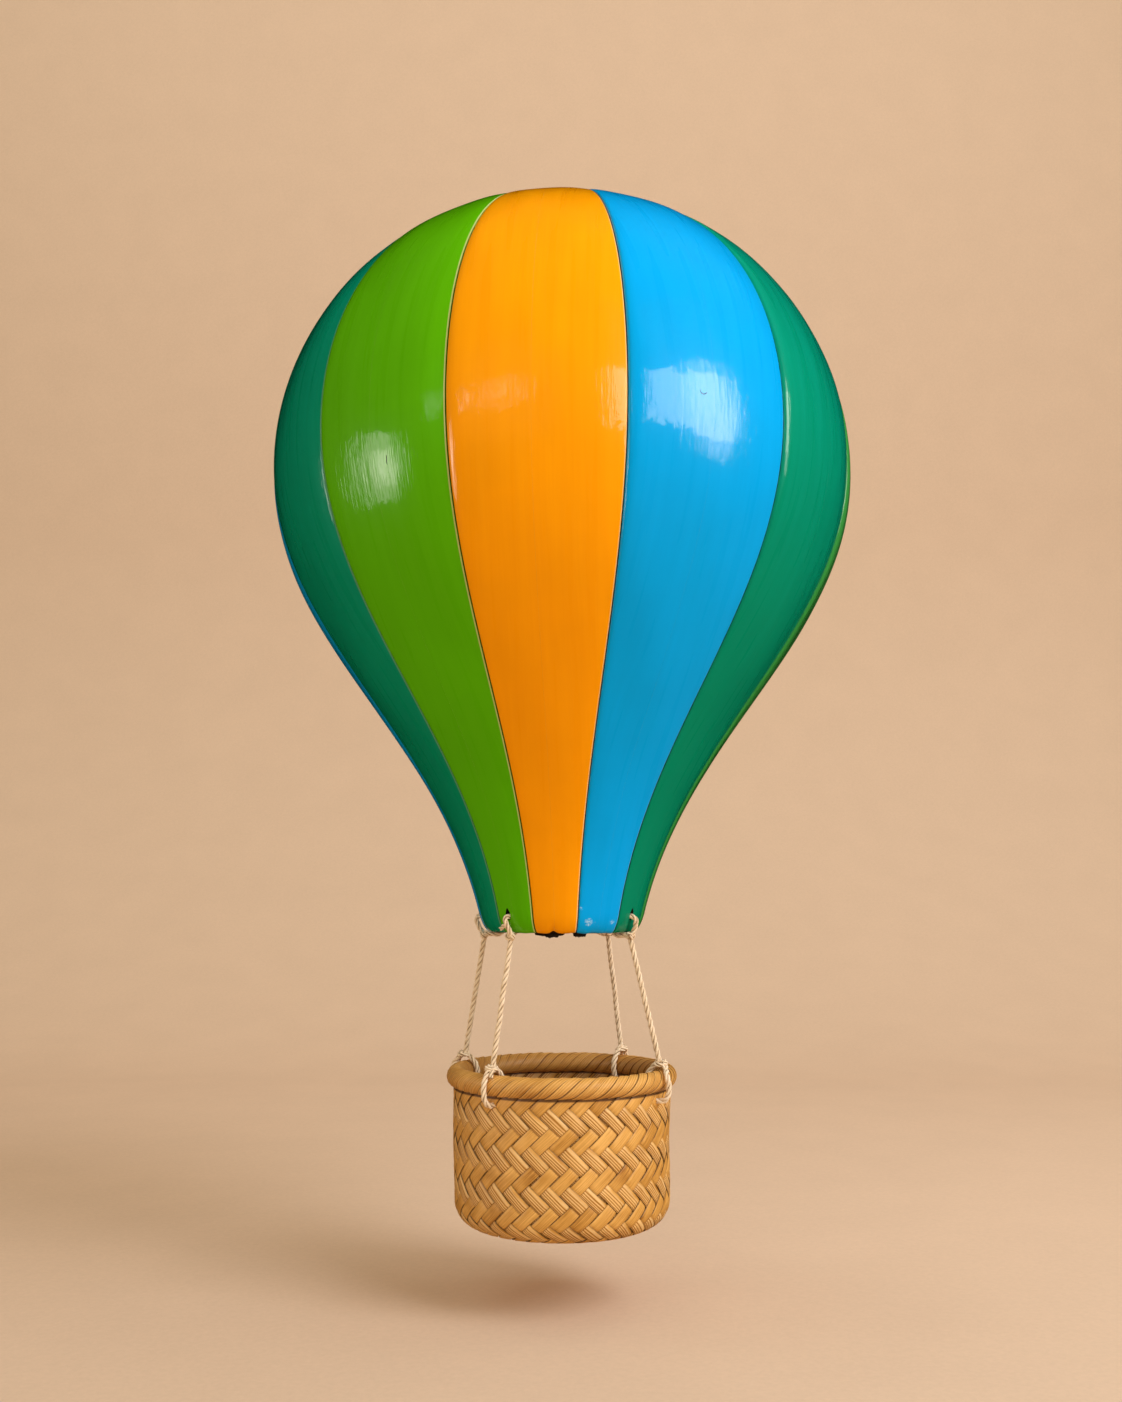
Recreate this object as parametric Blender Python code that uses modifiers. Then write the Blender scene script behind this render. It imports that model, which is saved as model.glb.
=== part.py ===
"""Hanging model of a hot air balloon: twelve gores, a crown plug with its eye, four tied twine stays and a plaited basket.

Metres, +Z up. The origin is the middle of the hanging eye's ring, and everything hangs below it.
An azimuth is measured from the front (-Y) towards the right (+X), in degrees.
"""

import math

import bmesh
import bpy
from mathutils import Matrix, Vector

MM = 0.001
GAP = 0.3 * MM  # left between pieces that touch

# Envelope, a moulded shell. Heights below are measured along Z.
WALL = 10 * MM
EQUATOR_RADIUS = 160.5 * MM
CROWN_RISE = 156.4 * MM  # crown apex above the equator
BODY_DROP = 251.3 * MM  # mouth edge below the equator
MOUTH_RADIUS = 44.9 * MM  # where the rounded lip begins
LIP_RISE = 10 * MM  # height of the rounded lip
LIP_TUCK = 6 * MM  # how far the lip turns in
SHOULDER_PULL = 92.3 * MM  # curve handle below the equator
NECK_PULL = 102.6 * MM  # curve handle above the mouth
NECK_LEAN = math.radians(14)  # the neck's lean from the vertical at the mouth
CROWN_HOLE_RADIUS = 11 * MM
CROWN_POINTS = 8
BODY_POINTS = 10
LIP_POINTS = 3
GORE_STEPS = 4
SEAM_DIP = 0.012  # share of the radius that a gore falls away at its seams

# Gores in turn from the first seam, towards the right. The hand-laid widths differ a little.
FIRST_SEAM = -19.8
GORES = [
    # colour, width in degrees
    ("orange", 30.8),
    ("blue", 31.7),
    ("dark_green", 32.3),
    ("green", 29.7),
    ("orange", 29.7),
    ("blue", 29.7),
    ("dark_green", 29.8),
    ("green", 29.7),
    ("orange", 29.7),
    ("blue", 29.7),
    ("dark_green", 28.8),
    ("green", 28.4),
]

# Crown plug and its screw eye
EYE_RADIUS = 4.5 * MM
EYE_WIRE = 1.0 * MM
EYE_COLLAR_RADIUS = 2.4 * MM
EYE_COLLAR_HEIGHT = 1.0 * MM
PLUG_TOP = -7.8 * MM
PLUG_CAP_RADIUS = 16 * MM
PLUG_CAP_THICKNESS = 3.2 * MM
PLUG_CAP_EDGE = 1.2 * MM
PLUG_LENGTH = 9 * MM

# Basket: a plaited vessel with a wrapped roll on its edge
MOUTH_TO_RIM = 75.6 * MM  # mouth edge down to the middle of the roll
RIM_TO_BASE = 76.2 * MM
RIM_RADIUS = 56.0 * MM
ROLL_RADIUS = 5.4 * MM
BASKET_TOP_RADIUS = 58.2 * MM
BASKET_FOOT_RADIUS = 57.2 * MM
BASKET_CORNER = 13.5 * MM
BASKET_WALL = 2.7 * MM
BASKET_STEPS = 40
CORNER_POINTS = 5

# Twine stays, each tied in a loop through the lip above and round the roll below
TWINE_RADIUS = 1.5 * MM
STAY_TOP_RADIUS = 42.0 * MM
LIP_HOLE_HEIGHT = 9.8 * MM  # above the mouth edge
LIP_HOLE_HALF = (2.0 * MM, 3.3 * MM)  # half width, half height: pulled long by the load
LIP_STRAND_HEIGHT = 8.4 * MM
MOUTH_KNOT_DROP = 4.5 * MM
RIM_KNOT_RISE = 8.5 * MM
RIM_HOLE_DROP = 8.8 * MM
RIM_HOLE_RADIUS = 2.3 * MM
KNOT_HALF = (4.2 * MM, 3.2 * MM, 2.8 * MM)  # across, in and out, up and down
TAIL_RADIUS = 1.3 * MM
TAIL_LENGTH = 6.5 * MM
STAYS = [
    # name, azimuth at the mouth, azimuth at the basket
    ("front_left", -38.5, -36.8),
    ("front_right", 57.5, 65.8),
    ("back_right", 142.5, 143.0),
    ("back_left", -98.0, -109.0),
]

# Levels that follow
APEX_Z = PLUG_TOP - PLUG_CAP_THICKNESS
EQUATOR_Z = APEX_Z - CROWN_RISE
MOUTH_Z = EQUATOR_Z - BODY_DROP
RIM_Z = MOUTH_Z - MOUTH_TO_RIM
BASE_Z = RIM_Z - RIM_TO_BASE

# name: base colour (linear RGB), roughness, metallic
FINISHES = {
    "orange": ((0.965, 0.323, 0.002), 0.18, 0.0),
    "blue": ((0.002, 0.371, 0.855), 0.18, 0.0),
    "green": ((0.102, 0.342, 0.003), 0.18, 0.0),
    "dark_green": ((0.002, 0.242, 0.114), 0.18, 0.0),
    "twine": ((0.694, 0.558, 0.352), 0.9, 0.0),
    "plaited_palm": ((0.584, 0.275, 0.060), 0.6, 0.0),
    "turned_wood": ((0.402, 0.227, 0.109), 0.6, 0.0),
    "steel_wire": ((0.62, 0.60, 0.55), 0.3, 1.0),
}

parts = None
cutters = None


def at(radius, azimuth, z):
    """A point at that distance from the axis, azimuth in degrees and height."""
    a = math.radians(azimuth)
    return Vector((radius * math.sin(a), -radius * math.cos(a), z))


def finish_of(name):
    material = bpy.data.materials.get(name)
    if material:
        return material
    colour, roughness, metallic = FINISHES[name]
    material = bpy.data.materials.new(name)
    material.use_nodes = True
    shader = material.node_tree.nodes["Principled BSDF"]
    shader.inputs["Base Color"].default_value = (*colour, 1)
    shader.inputs["Roughness"].default_value = roughness
    shader.inputs["Metallic"].default_value = metallic
    material.diffuse_color = (*colour, 1)
    return material


def keep(obj, finish, collection=None):
    """Puts an object in its collection and gives it its finish."""
    for old in obj.users_collection:
        old.objects.unlink(obj)
    (collection or parts).objects.link(obj)
    obj.data.materials.clear()
    obj.data.materials.append(finish_of(finish))
    return obj


def mesh_object(name, mesh, finish, collection=None):
    return keep(bpy.data.objects.new(name, mesh), finish, collection)


def as_mesh(obj):
    """Turns a curve or a modified object into a plain mesh object of the same name and place."""
    bpy.context.view_layer.update()
    evaluated = obj.evaluated_get(bpy.context.evaluated_depsgraph_get())
    mesh = bpy.data.meshes.new_from_object(evaluated)
    bm = bmesh.new()
    bm.from_mesh(mesh)
    bmesh.ops.remove_doubles(bm, verts=bm.verts, dist=0.00001)
    bmesh.ops.recalc_face_normals(bm, faces=bm.faces)
    bm.to_mesh(mesh)
    bm.free()
    solid = bpy.data.objects.new(obj.name, mesh)
    solid.matrix_world = obj.matrix_world
    for collection in obj.users_collection:
        collection.objects.link(solid)
    name = obj.name
    bpy.data.objects.remove(obj)
    solid.name = name
    return solid


def smooth(obj, degrees=35):
    obj.data.shade_smooth()
    obj.data.set_sharp_from_angle(angle=math.radians(degrees))


def tube(name, points, radius, finish, cyclic=False, collection=None):
    """Round twine or wire along the points."""
    curve = bpy.data.curves.new(name, "CURVE")
    curve.dimensions = "3D"
    curve.bevel_depth = radius
    curve.bevel_resolution = 2
    curve.use_fill_caps = not cyclic
    line = curve.splines.new("POLY")
    line.points.add(len(points) - 1)
    for target, point in zip(line.points, points):
        target.co = (*point, 1)
    line.use_cyclic_u = cyclic
    return keep(bpy.data.objects.new(name, curve), finish, collection)


def boolean(obj, other, operation):
    change = obj.modifiers.new(operation.lower(), "BOOLEAN")
    change.operation = operation
    change.object = other
    other.hide_render = True
    other.display_type = "WIRE"


def turned(name, profile, finish, steps, collection=None):
    """A profile of (radius, height) points, outer side first from top to bottom, turned round Z."""
    mesh = bpy.data.meshes.new(name)
    edges = [(i, i + 1) for i in range(len(profile) - 1)]
    mesh.from_pydata([(r, 0, z) for r, z in profile], edges, [])
    obj = mesh_object(name, mesh, finish, collection)
    screw = obj.modifiers.new("turn", "SCREW")
    screw.steps = steps
    screw.render_steps = steps
    screw.use_merge_vertices = True
    screw.merge_threshold = 0.00001
    return obj


def envelope_point(t):
    """Outer outline (radius, height) and its outward normal. t is 0 at the apex, 1 at the equator, 2 at the lip."""
    if t <= 1:
        a = t * math.pi / 2
        point = Vector((EQUATOR_RADIUS * math.sin(a), EQUATOR_Z + CROWN_RISE * math.cos(a)))
        along = Vector((EQUATOR_RADIUS * math.cos(a), -CROWN_RISE * math.sin(a)))
    else:
        u = t - 1
        lip = Vector((MOUTH_RADIUS, MOUTH_Z + LIP_RISE))
        knots = [
            Vector((EQUATOR_RADIUS, EQUATOR_Z)),
            Vector((EQUATOR_RADIUS, EQUATOR_Z - SHOULDER_PULL)),
            lip + NECK_PULL * Vector((math.sin(NECK_LEAN), math.cos(NECK_LEAN))),
            lip,
        ]
        weights = [(1 - u) ** 3, 3 * (1 - u) ** 2 * u, 3 * (1 - u) * u**2, u**3]
        point = sum((w * k for w, k in zip(weights, knots)), Vector((0, 0)))
        slopes = [(1 - u) ** 2, 2 * (1 - u) * u, u**2]
        steps = [b - a for a, b in zip(knots, knots[1:])]
        along = sum((w * s for w, s in zip(slopes, steps)), Vector((0, 0)))
    normal = Vector((-along.y, along.x)).normalized()
    return point, normal


def gore_section():
    """Closed outline of the shell's wall: down the outside, round the lip, and up the inside."""
    first = math.asin(CROWN_HOLE_RADIUS / EQUATOR_RADIUS) / (math.pi / 2)
    stations = [first + (1 - first) * i / CROWN_POINTS for i in range(CROWN_POINTS)]
    stations += [1 + i / BODY_POINTS for i in range(BODY_POINTS + 1)]
    outside = []
    inside = []
    for t in stations:
        point, normal = envelope_point(t)
        outside.append(point)
        inside.append(point - WALL * normal)
    inside[0].x = CROWN_HOLE_RADIUS
    for i in range(1, LIP_POINTS + 1):
        a = i / LIP_POINTS * math.pi / 2
        lip_x = MOUTH_RADIUS - LIP_TUCK * (1 - math.cos(a))
        outside.append(Vector((lip_x, MOUTH_Z + LIP_RISE * (1 - math.sin(a)))))
    inside.append(Vector((MOUTH_RADIUS - WALL - 0.4 * MM, MOUTH_Z)))
    return outside + inside[::-1]


def make_gores():
    """Each gore is its wall section swept across its width, swelling between its seams."""
    section = gore_section()
    azimuth = FIRST_SEAM
    for number, (colour, width) in enumerate(GORES, 1):
        name = f"gore_{number:02d}_{colour}"
        half = math.radians(width) / 2
        bm = bmesh.new()
        face = bm.faces.new([bm.verts.new((p.x, 0, p.y)) for p in section])
        bmesh.ops.rotate(bm, verts=bm.verts, matrix=Matrix.Rotation(-half, 3, "Z"))
        bmesh.ops.spin(
            bm,
            geom=[face, *face.edges, *face.verts],
            axis=(0, 0, 1),
            angle=2 * half,
            steps=GORE_STEPS,
        )
        for v in bm.verts:
            radius = math.hypot(v.co.x, v.co.y)
            angle = math.atan2(v.co.y, v.co.x)
            across = angle / half  # -1 and 1 at the seams
            radius *= 1 - SEAM_DIP * across**4
            angle -= across * GAP / 2 / radius
            v.co.x = radius * math.cos(angle)
            v.co.y = radius * math.sin(angle)
        bmesh.ops.recalc_face_normals(bm, faces=bm.faces)
        mesh = bpy.data.meshes.new(name)
        bm.to_mesh(mesh)
        bm.free()
        gore = mesh_object(name, mesh, colour)
        gore.rotation_euler.z = math.radians(azimuth + width / 2 - 90)
        smooth(gore)
        cut_lip_holes(gore, azimuth, azimuth + width)
        azimuth += width


def cut_lip_holes(gore, low, high):
    """Cuts the long hole of each stay that is tied through this gore."""
    for name, azimuth, _ in STAYS:
        if not low < low + (azimuth - low) % 360 < high:
            continue
        bpy.ops.mesh.primitive_cylinder_add(vertices=12, radius=1, depth=3 * WALL)
        hole = bpy.context.object
        hole.name = f"lip_hole_{name}"
        hole.scale = (LIP_HOLE_HALF[1], LIP_HOLE_HALF[0], 1)
        hole.rotation_euler = (0, math.radians(90), math.radians(azimuth - 90))
        hole.location = at(MOUTH_RADIUS - WALL / 2, azimuth, MOUTH_Z + LIP_HOLE_HEIGHT)
        keep(hole, "twine", cutters)
        boolean(gore, hole, "DIFFERENCE")


def make_crown():
    """A turned plug that closes the crown, and the wire eye the balloon hangs from."""
    stem = CROWN_HOLE_RADIUS * (1 - SEAM_DIP) - GAP
    profile = [
        (0, PLUG_TOP),
        (PLUG_CAP_RADIUS * 0.55, PLUG_TOP - 0.4 * MM),
        (PLUG_CAP_RADIUS * 0.9, APEX_Z + PLUG_CAP_EDGE),
        (PLUG_CAP_RADIUS, APEX_Z + PLUG_CAP_EDGE / 2),
        (PLUG_CAP_RADIUS, APEX_Z),
        (stem, APEX_Z),
        (stem, APEX_Z - PLUG_LENGTH),
        (0, APEX_Z - PLUG_LENGTH),
    ]
    smooth(turned("crown_plug", profile, "turned_wood", 32))

    bpy.ops.mesh.primitive_torus_add(
        major_radius=EYE_RADIUS,
        minor_radius=EYE_WIRE,
        major_segments=24,
        minor_segments=8,
        rotation=(math.radians(90), 0, 0),
    )
    eye = keep(bpy.context.object, "steel_wire")
    eye.name = "hanging_eye"
    foot = PLUG_TOP + GAP
    shank = [
        (0, -EYE_RADIUS),
        (EYE_WIRE, -EYE_RADIUS),
        (EYE_WIRE, foot + EYE_COLLAR_HEIGHT),
        (EYE_COLLAR_RADIUS, foot + EYE_COLLAR_HEIGHT * 0.6),
        (EYE_COLLAR_RADIUS, foot),
        (0, foot),
    ]
    boolean(eye, turned("eye_shank", shank, "steel_wire", 16, cutters), "UNION")
    smooth(eye)


def basket_radius(height):
    """Outer radius of the basket's wall at that height above its base."""
    wall_height = RIM_TO_BASE - ROLL_RADIUS - BASKET_CORNER
    share = (height - BASKET_CORNER) / wall_height
    return BASKET_FOOT_RADIUS + (BASKET_TOP_RADIUS - BASKET_FOOT_RADIUS) * share


def make_basket():
    """The plaited vessel, turned from its wall section, with the wrapped roll on its edge."""
    top = RIM_Z - ROLL_RADIUS - GAP
    corner_z = BASE_Z + BASKET_CORNER
    outside = [(basket_radius(top - BASE_Z), top)]
    inside = [(outside[0][0] - BASKET_WALL, top)]
    for i in range(CORNER_POINTS + 1):
        a = i / CORNER_POINTS * math.pi / 2
        centre = basket_radius(BASKET_CORNER) - BASKET_CORNER
        inner = BASKET_CORNER - BASKET_WALL
        outside.append((centre + BASKET_CORNER * math.cos(a), corner_z - BASKET_CORNER * math.sin(a)))
        inside.append((centre + inner * math.cos(a), corner_z - inner * math.sin(a)))
    profile = inside[::-1] + outside
    profile = [(0, BASE_Z + BASKET_WALL), *profile, (0, BASE_Z)]
    body = turned("basket_body", profile, "plaited_palm", BASKET_STEPS)
    for name, _, azimuth in STAYS:
        bpy.ops.mesh.primitive_cylinder_add(vertices=12, radius=RIM_HOLE_RADIUS, depth=6 * BASKET_WALL)
        hole = bpy.context.object
        hole.name = f"wall_hole_{name}"
        hole.rotation_euler = (0, math.radians(90), math.radians(azimuth - 90))
        hole.location = at(BASKET_TOP_RADIUS, azimuth, RIM_Z - RIM_HOLE_DROP)
        keep(hole, "plaited_palm", cutters)
        boolean(body, hole, "DIFFERENCE")
    smooth(body)

    bpy.ops.mesh.primitive_torus_add(
        major_radius=RIM_RADIUS,
        minor_radius=ROLL_RADIUS,
        major_segments=BASKET_STEPS,
        minor_segments=12,
        location=(0, 0, RIM_Z),
    )
    rim = keep(bpy.context.object, "plaited_palm")
    rim.name = "basket_rim"
    smooth(rim)


def knotted_loop(name, outline, azimuth, knot_at, tail_side):
    """A closed loop of twine in the upright plane at that azimuth, its knot and the knot's cut tail."""
    points = [at(radius, azimuth, z) for radius, z in outline]
    loop = as_mesh(tube(name, points, TWINE_RADIUS, "twine", cyclic=True))
    bpy.ops.mesh.primitive_uv_sphere_add(segments=12, ring_count=8, radius=1)
    knot = keep(bpy.context.object, "twine", cutters)
    knot.name = f"{name}_knot"
    knot.scale = KNOT_HALF
    knot.rotation_euler.z = math.radians(azimuth)
    knot.location = knot_at
    boolean(loop, knot, "UNION")
    sideways = at(1, azimuth + 90, 0)
    outwards = at(1, azimuth, 0)
    start = knot_at + sideways * tail_side * KNOT_HALF[0] * 0.5
    bend = start + (sideways * tail_side * 0.55 + outwards * 0.25) * TAIL_LENGTH * 0.5
    end = bend + (sideways * tail_side * 0.3 + outwards * 0.45 + Vector((0, 0, -0.3))) * TAIL_LENGTH * 0.6
    tail = as_mesh(tube(f"{name}_tail", [start, bend, end], TAIL_RADIUS, "twine", collection=cutters))
    boolean(loop, tail, "UNION")
    smooth(loop)


def mouth_loop_outline():
    """Through the hole, down inside the lip, under its edge, and up round its outer side."""
    clear = TWINE_RADIUS + GAP
    inner = MOUTH_RADIUS - WALL - 0.4 * MM - clear
    outline = [
        (MOUTH_RADIUS + 1.0 * MM, LIP_STRAND_HEIGHT),
        (MOUTH_RADIUS - WALL / 2, LIP_STRAND_HEIGHT),
        (MOUTH_RADIUS - WALL, LIP_STRAND_HEIGHT),
        (inner + 0.5 * MM, LIP_STRAND_HEIGHT - 0.7 * MM),
        (inner, LIP_STRAND_HEIGHT * 0.65),
        (inner, LIP_STRAND_HEIGHT * 0.2),
        (inner + 0.1 * MM, -1.0 * MM),
        (inner + 2.0 * MM, -clear - 0.3 * MM),
    ]
    for degrees in (90, 68, 47, 26):  # round the lip, from under it to its side
        a = math.radians(degrees)
        outline.append(
            (
                MOUTH_RADIUS - LIP_TUCK + (LIP_TUCK + clear) * math.cos(a),
                LIP_RISE - (LIP_RISE + clear) * math.sin(a),
            )
        )
    outline.append((MOUTH_RADIUS + clear, LIP_STRAND_HEIGHT - 0.8 * MM))
    return [(radius, MOUTH_Z + z) for radius, z in outline]


def rim_loop_outline(steps=20):
    """Round the roll, hanging lower at the bottom to pass through the wall."""
    outline = []
    for i in range(steps):
        a = 2 * math.pi * i / steps
        around = ROLL_RADIUS + TWINE_RADIUS + GAP
        reach = around if math.cos(a) > 0 else RIM_HOLE_DROP + 0.1 * MM
        outline.append((RIM_RADIUS + around * math.sin(a), RIM_Z + reach * math.cos(a)))
    return outline


def make_stays():
    for number, (name, top, foot) in enumerate(STAYS):
        side = 1 if number % 2 == 0 else -1
        mouth_knot = at(STAY_TOP_RADIUS, top, MOUTH_Z - MOUTH_KNOT_DROP)
        rim_knot = at(RIM_RADIUS, foot, RIM_Z + RIM_KNOT_RISE)
        knotted_loop(f"mouth_loop_{name}", mouth_loop_outline(), top, mouth_knot, -side)
        knotted_loop(f"rim_loop_{name}", rim_loop_outline(), foot, rim_knot, side)
        clear = (rim_knot - mouth_knot).normalized() * (KNOT_HALF[2] + GAP)
        stay = tube(f"stay_{name}", [Vector(), rim_knot - mouth_knot - 2 * clear], TWINE_RADIUS, "twine")
        stay.location = mouth_knot + clear
        hinge = bpy.data.objects.new(f"stay_hinge_{name}", None)
        hinge.location = mouth_knot
        parts.objects.link(hinge)
        stay.parent = hinge
        stay.matrix_parent_inverse = Matrix.Translation(-mouth_knot)


def main():
    global parts, cutters
    for obj in list(bpy.data.objects):
        bpy.data.objects.remove(obj)
    parts = bpy.data.collections.new("hot_air_balloon")
    cutters = bpy.data.collections.new("cutters")
    bpy.context.scene.collection.children.link(parts)
    bpy.context.scene.collection.children.link(cutters)
    make_gores()
    make_crown()
    make_basket()
    make_stays()


main()
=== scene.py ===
import math

import bpy
import numpy as np
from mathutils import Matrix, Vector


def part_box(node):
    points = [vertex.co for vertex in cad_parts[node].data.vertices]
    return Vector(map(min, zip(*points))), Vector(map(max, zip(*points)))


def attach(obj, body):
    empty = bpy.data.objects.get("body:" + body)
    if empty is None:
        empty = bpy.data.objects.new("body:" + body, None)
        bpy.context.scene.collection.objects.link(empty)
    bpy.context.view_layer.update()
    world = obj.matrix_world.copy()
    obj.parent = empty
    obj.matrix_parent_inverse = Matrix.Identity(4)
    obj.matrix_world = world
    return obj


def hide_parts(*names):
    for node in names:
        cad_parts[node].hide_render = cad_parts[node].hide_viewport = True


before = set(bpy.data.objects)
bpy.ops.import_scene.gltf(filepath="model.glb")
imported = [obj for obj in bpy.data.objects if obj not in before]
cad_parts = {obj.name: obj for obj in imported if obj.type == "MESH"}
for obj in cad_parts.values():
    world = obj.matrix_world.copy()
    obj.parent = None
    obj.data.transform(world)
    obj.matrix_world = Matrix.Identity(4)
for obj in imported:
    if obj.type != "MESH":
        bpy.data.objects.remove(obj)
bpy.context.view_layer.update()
mm = 0.001
seed = 11  # every random draw starts from here, each with an offset of its own
upward = np.array([0, 0, 1.0])


def linearColour(hexColour):
    # sRGB hex to linear light, by the two-part sRGB curve
    channels = np.array([int(hexColour[i:i + 2], 16) for i in (1, 3, 5)]) / 255
    linear = np.where(channels <= 0.04045, channels / 12.92, ((channels + 0.055) / 1.055) ** 2.4)
    return (*linear.tolist(), 1.0)


def setInputs(tree, node, inputs):
    # an input takes another node's output, a hex colour or a plain value
    for name, value in inputs.items():
        if isinstance(value, bpy.types.NodeSocket):
            tree.links.new(value, node.inputs[name])
        else:
            node.inputs[name].default_value = linearColour(value) if isinstance(value, str) else value


def addNode(tree, kind, inputs=None, output=0, stops=(), **settings):
    # adds any node and gives one of its outputs; settings are the node's own choices, and stops are those of
    # a colour ramp as (position, hex): its start, its end and what lies between
    node = tree.nodes.new("ShaderNode" + kind)
    for name, value in settings.items():
        setattr(node, name, value)
    for k, (position, colour) in enumerate(stops):
        stop = node.color_ramp.elements[k] if k < 2 else node.color_ramp.elements.new(position)
        stop.position = position
        stop.color = linearColour(colour)
    setInputs(tree, node, inputs or {})
    return node.outputs[output]


def startMaterial(name):
    # gives the material, its tree, the object coordinates and the surface's own
    material = bpy.data.materials.new(name)
    material.use_nodes = True
    place = addNode(material.node_tree, "TexCoord", output="Object")
    return material, material.node_tree, place, place.node.outputs["UV"]


def finishMaterial(material, inputs):
    tree = material.node_tree
    setInputs(tree, tree.nodes["Principled BSDF"], inputs)
    return material


def stacked(*parts):
    # the parts, stretched to one shape, along a new last axis
    return np.stack(np.broadcast_arrays(*parts), -1)


def gridCells(rows, columns, closedRows=False, closedColumns=False, shift=0):
    # the quads of a grid of points counted row by row, and each corner's (row, column);
    # a closed side joins its last points to its first, and shift moves that join on by some columns
    i, j = np.indices((rows - 1 + closedRows, columns - 1 + closedColumns))
    corners = np.stack([np.stack([i, i + 1, i + 1, i], -1), np.stack([j, j, j + 1, j + 1], -1)], -1)
    corners = corners.reshape(-1, 4, 2)
    column = corners[..., 1] + shift * (corners[..., 0] == rows)
    quads = corners[..., 0] % rows * columns + column % columns
    return quads, corners


def gridPatch(points, uv=None, closedRows=False, closedColumns=False, caps=False, values=None, materials=0,
              shift=0):
    # one grid of points as a patch; uv has one row or column more on a closed side; caps close the two ends
    rows, columns = points.shape[:2]
    quads, corners = gridCells(rows, columns, closedRows, closedColumns, shift)
    if uv is None:
        uv = np.zeros((rows + 1, columns + 1, 2))
    ends = []
    if caps:
        ends = [list(range(columns)), list(range(rows * columns - 1, (rows - 1) * columns - 1, -1))]
    cells = (rows - 1 + closedRows, columns - 1 + closedColumns)
    values = {name: np.broadcast_to(value, (rows, columns)).ravel() for name, value in (values or {}).items()}
    return {
        "points": points.reshape(-1, 3),
        "quads": quads,
        "uv": uv[corners[..., 0], corners[..., 1]],
        "caps": ends,
        "values": values,
        "materials": np.broadcast_to(materials, cells).ravel(),
    }


def addObject(name, data):
    made = bpy.data.objects.new(name, data)
    bpy.context.scene.collection.objects.link(made)
    return made


def makePiece(name, patches, materials, body=None, nodes=(), sharpAngle=None):
    # all patches go into one mesh, whose object stays at the origin and rides on its body
    faces = []
    uv = []
    numbers = []
    first = 0
    for patch in patches:
        faces += (patch["quads"] + first).tolist()
        uv.append(patch["uv"].reshape(-1, 2))
        numbers += patch["materials"].tolist()
        for cap in patch["caps"]:
            faces.append([first + k for k in cap])
            uv.append(np.zeros((len(cap), 2)))
            numbers.append(int(patch["materials"].max()))
        first += len(patch["points"])
    mesh = bpy.data.meshes.new(name)
    mesh.from_pydata(np.concatenate([p["points"] for p in patches]).tolist(), [], faces)
    mesh.uv_layers.new(name="surface").data.foreach_set("uv", np.concatenate(uv).ravel())
    for key in patches[0]["values"]:
        layer = mesh.attributes.new(key, "FLOAT", "POINT")
        layer.data.foreach_set("value", np.concatenate([p["values"][key] for p in patches]))
    for material in materials:
        mesh.materials.append(material)
    mesh.polygons.foreach_set("material_index", numbers)
    mesh.shade_smooth()
    if sharpAngle:
        mesh.set_sharp_from_angle(angle=math.radians(sharpAngle))
    piece = addObject(name, mesh)
    if body:
        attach(piece, body)
    if nodes:
        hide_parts(*nodes)
    return piece


def ringPoint(radius, azimuth, z):
    # (radius sin azimuth, -radius cos azimuth, z), for arrays too
    a = np.radians(azimuth)
    return stacked(radius * np.sin(a), -radius * np.cos(a), z)


def unit(vectors):
    # each vector over its own length
    return vectors / np.linalg.norm(vectors, axis=-1, keepdims=True)


def runAlong(points):
    # length from the first point to each
    return np.concatenate([[0], np.cumsum(np.linalg.norm(np.diff(points, axis=0), axis=1))])


def besidePoint(azimuth, radius, z, sideways=0.0):
    # a point at that azimuth and radius, moved sideways along the ring
    return ringPoint(radius, azimuth, np.squeeze(z)) + sideways * ringPoint(1.0, azimuth + 90, 0)


def smoothStep(x):
    # three x squared less two x cubed, level at 0 and at 1
    x = np.clip(x, 0, 1)
    return x * x * (3 - 2 * x)


def waves(seedNumber, x, y, count, lengthX, lengthY):
    # a sum of sine waves of like length in random directions, about -1 to 1
    draw = np.random.default_rng(seedNumber)
    total = np.zeros(np.broadcast(x, y).shape)
    for _ in range(count):
        turn = draw.uniform(0.6, 1.5, 2) * draw.choice([-1, 1], 2)
        total += np.sin(2 * np.pi * (turn[0] * x / lengthX + turn[1] * y / lengthY) + draw.uniform(0, 6.3))
    return total / math.sqrt(count) / 1.4


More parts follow.
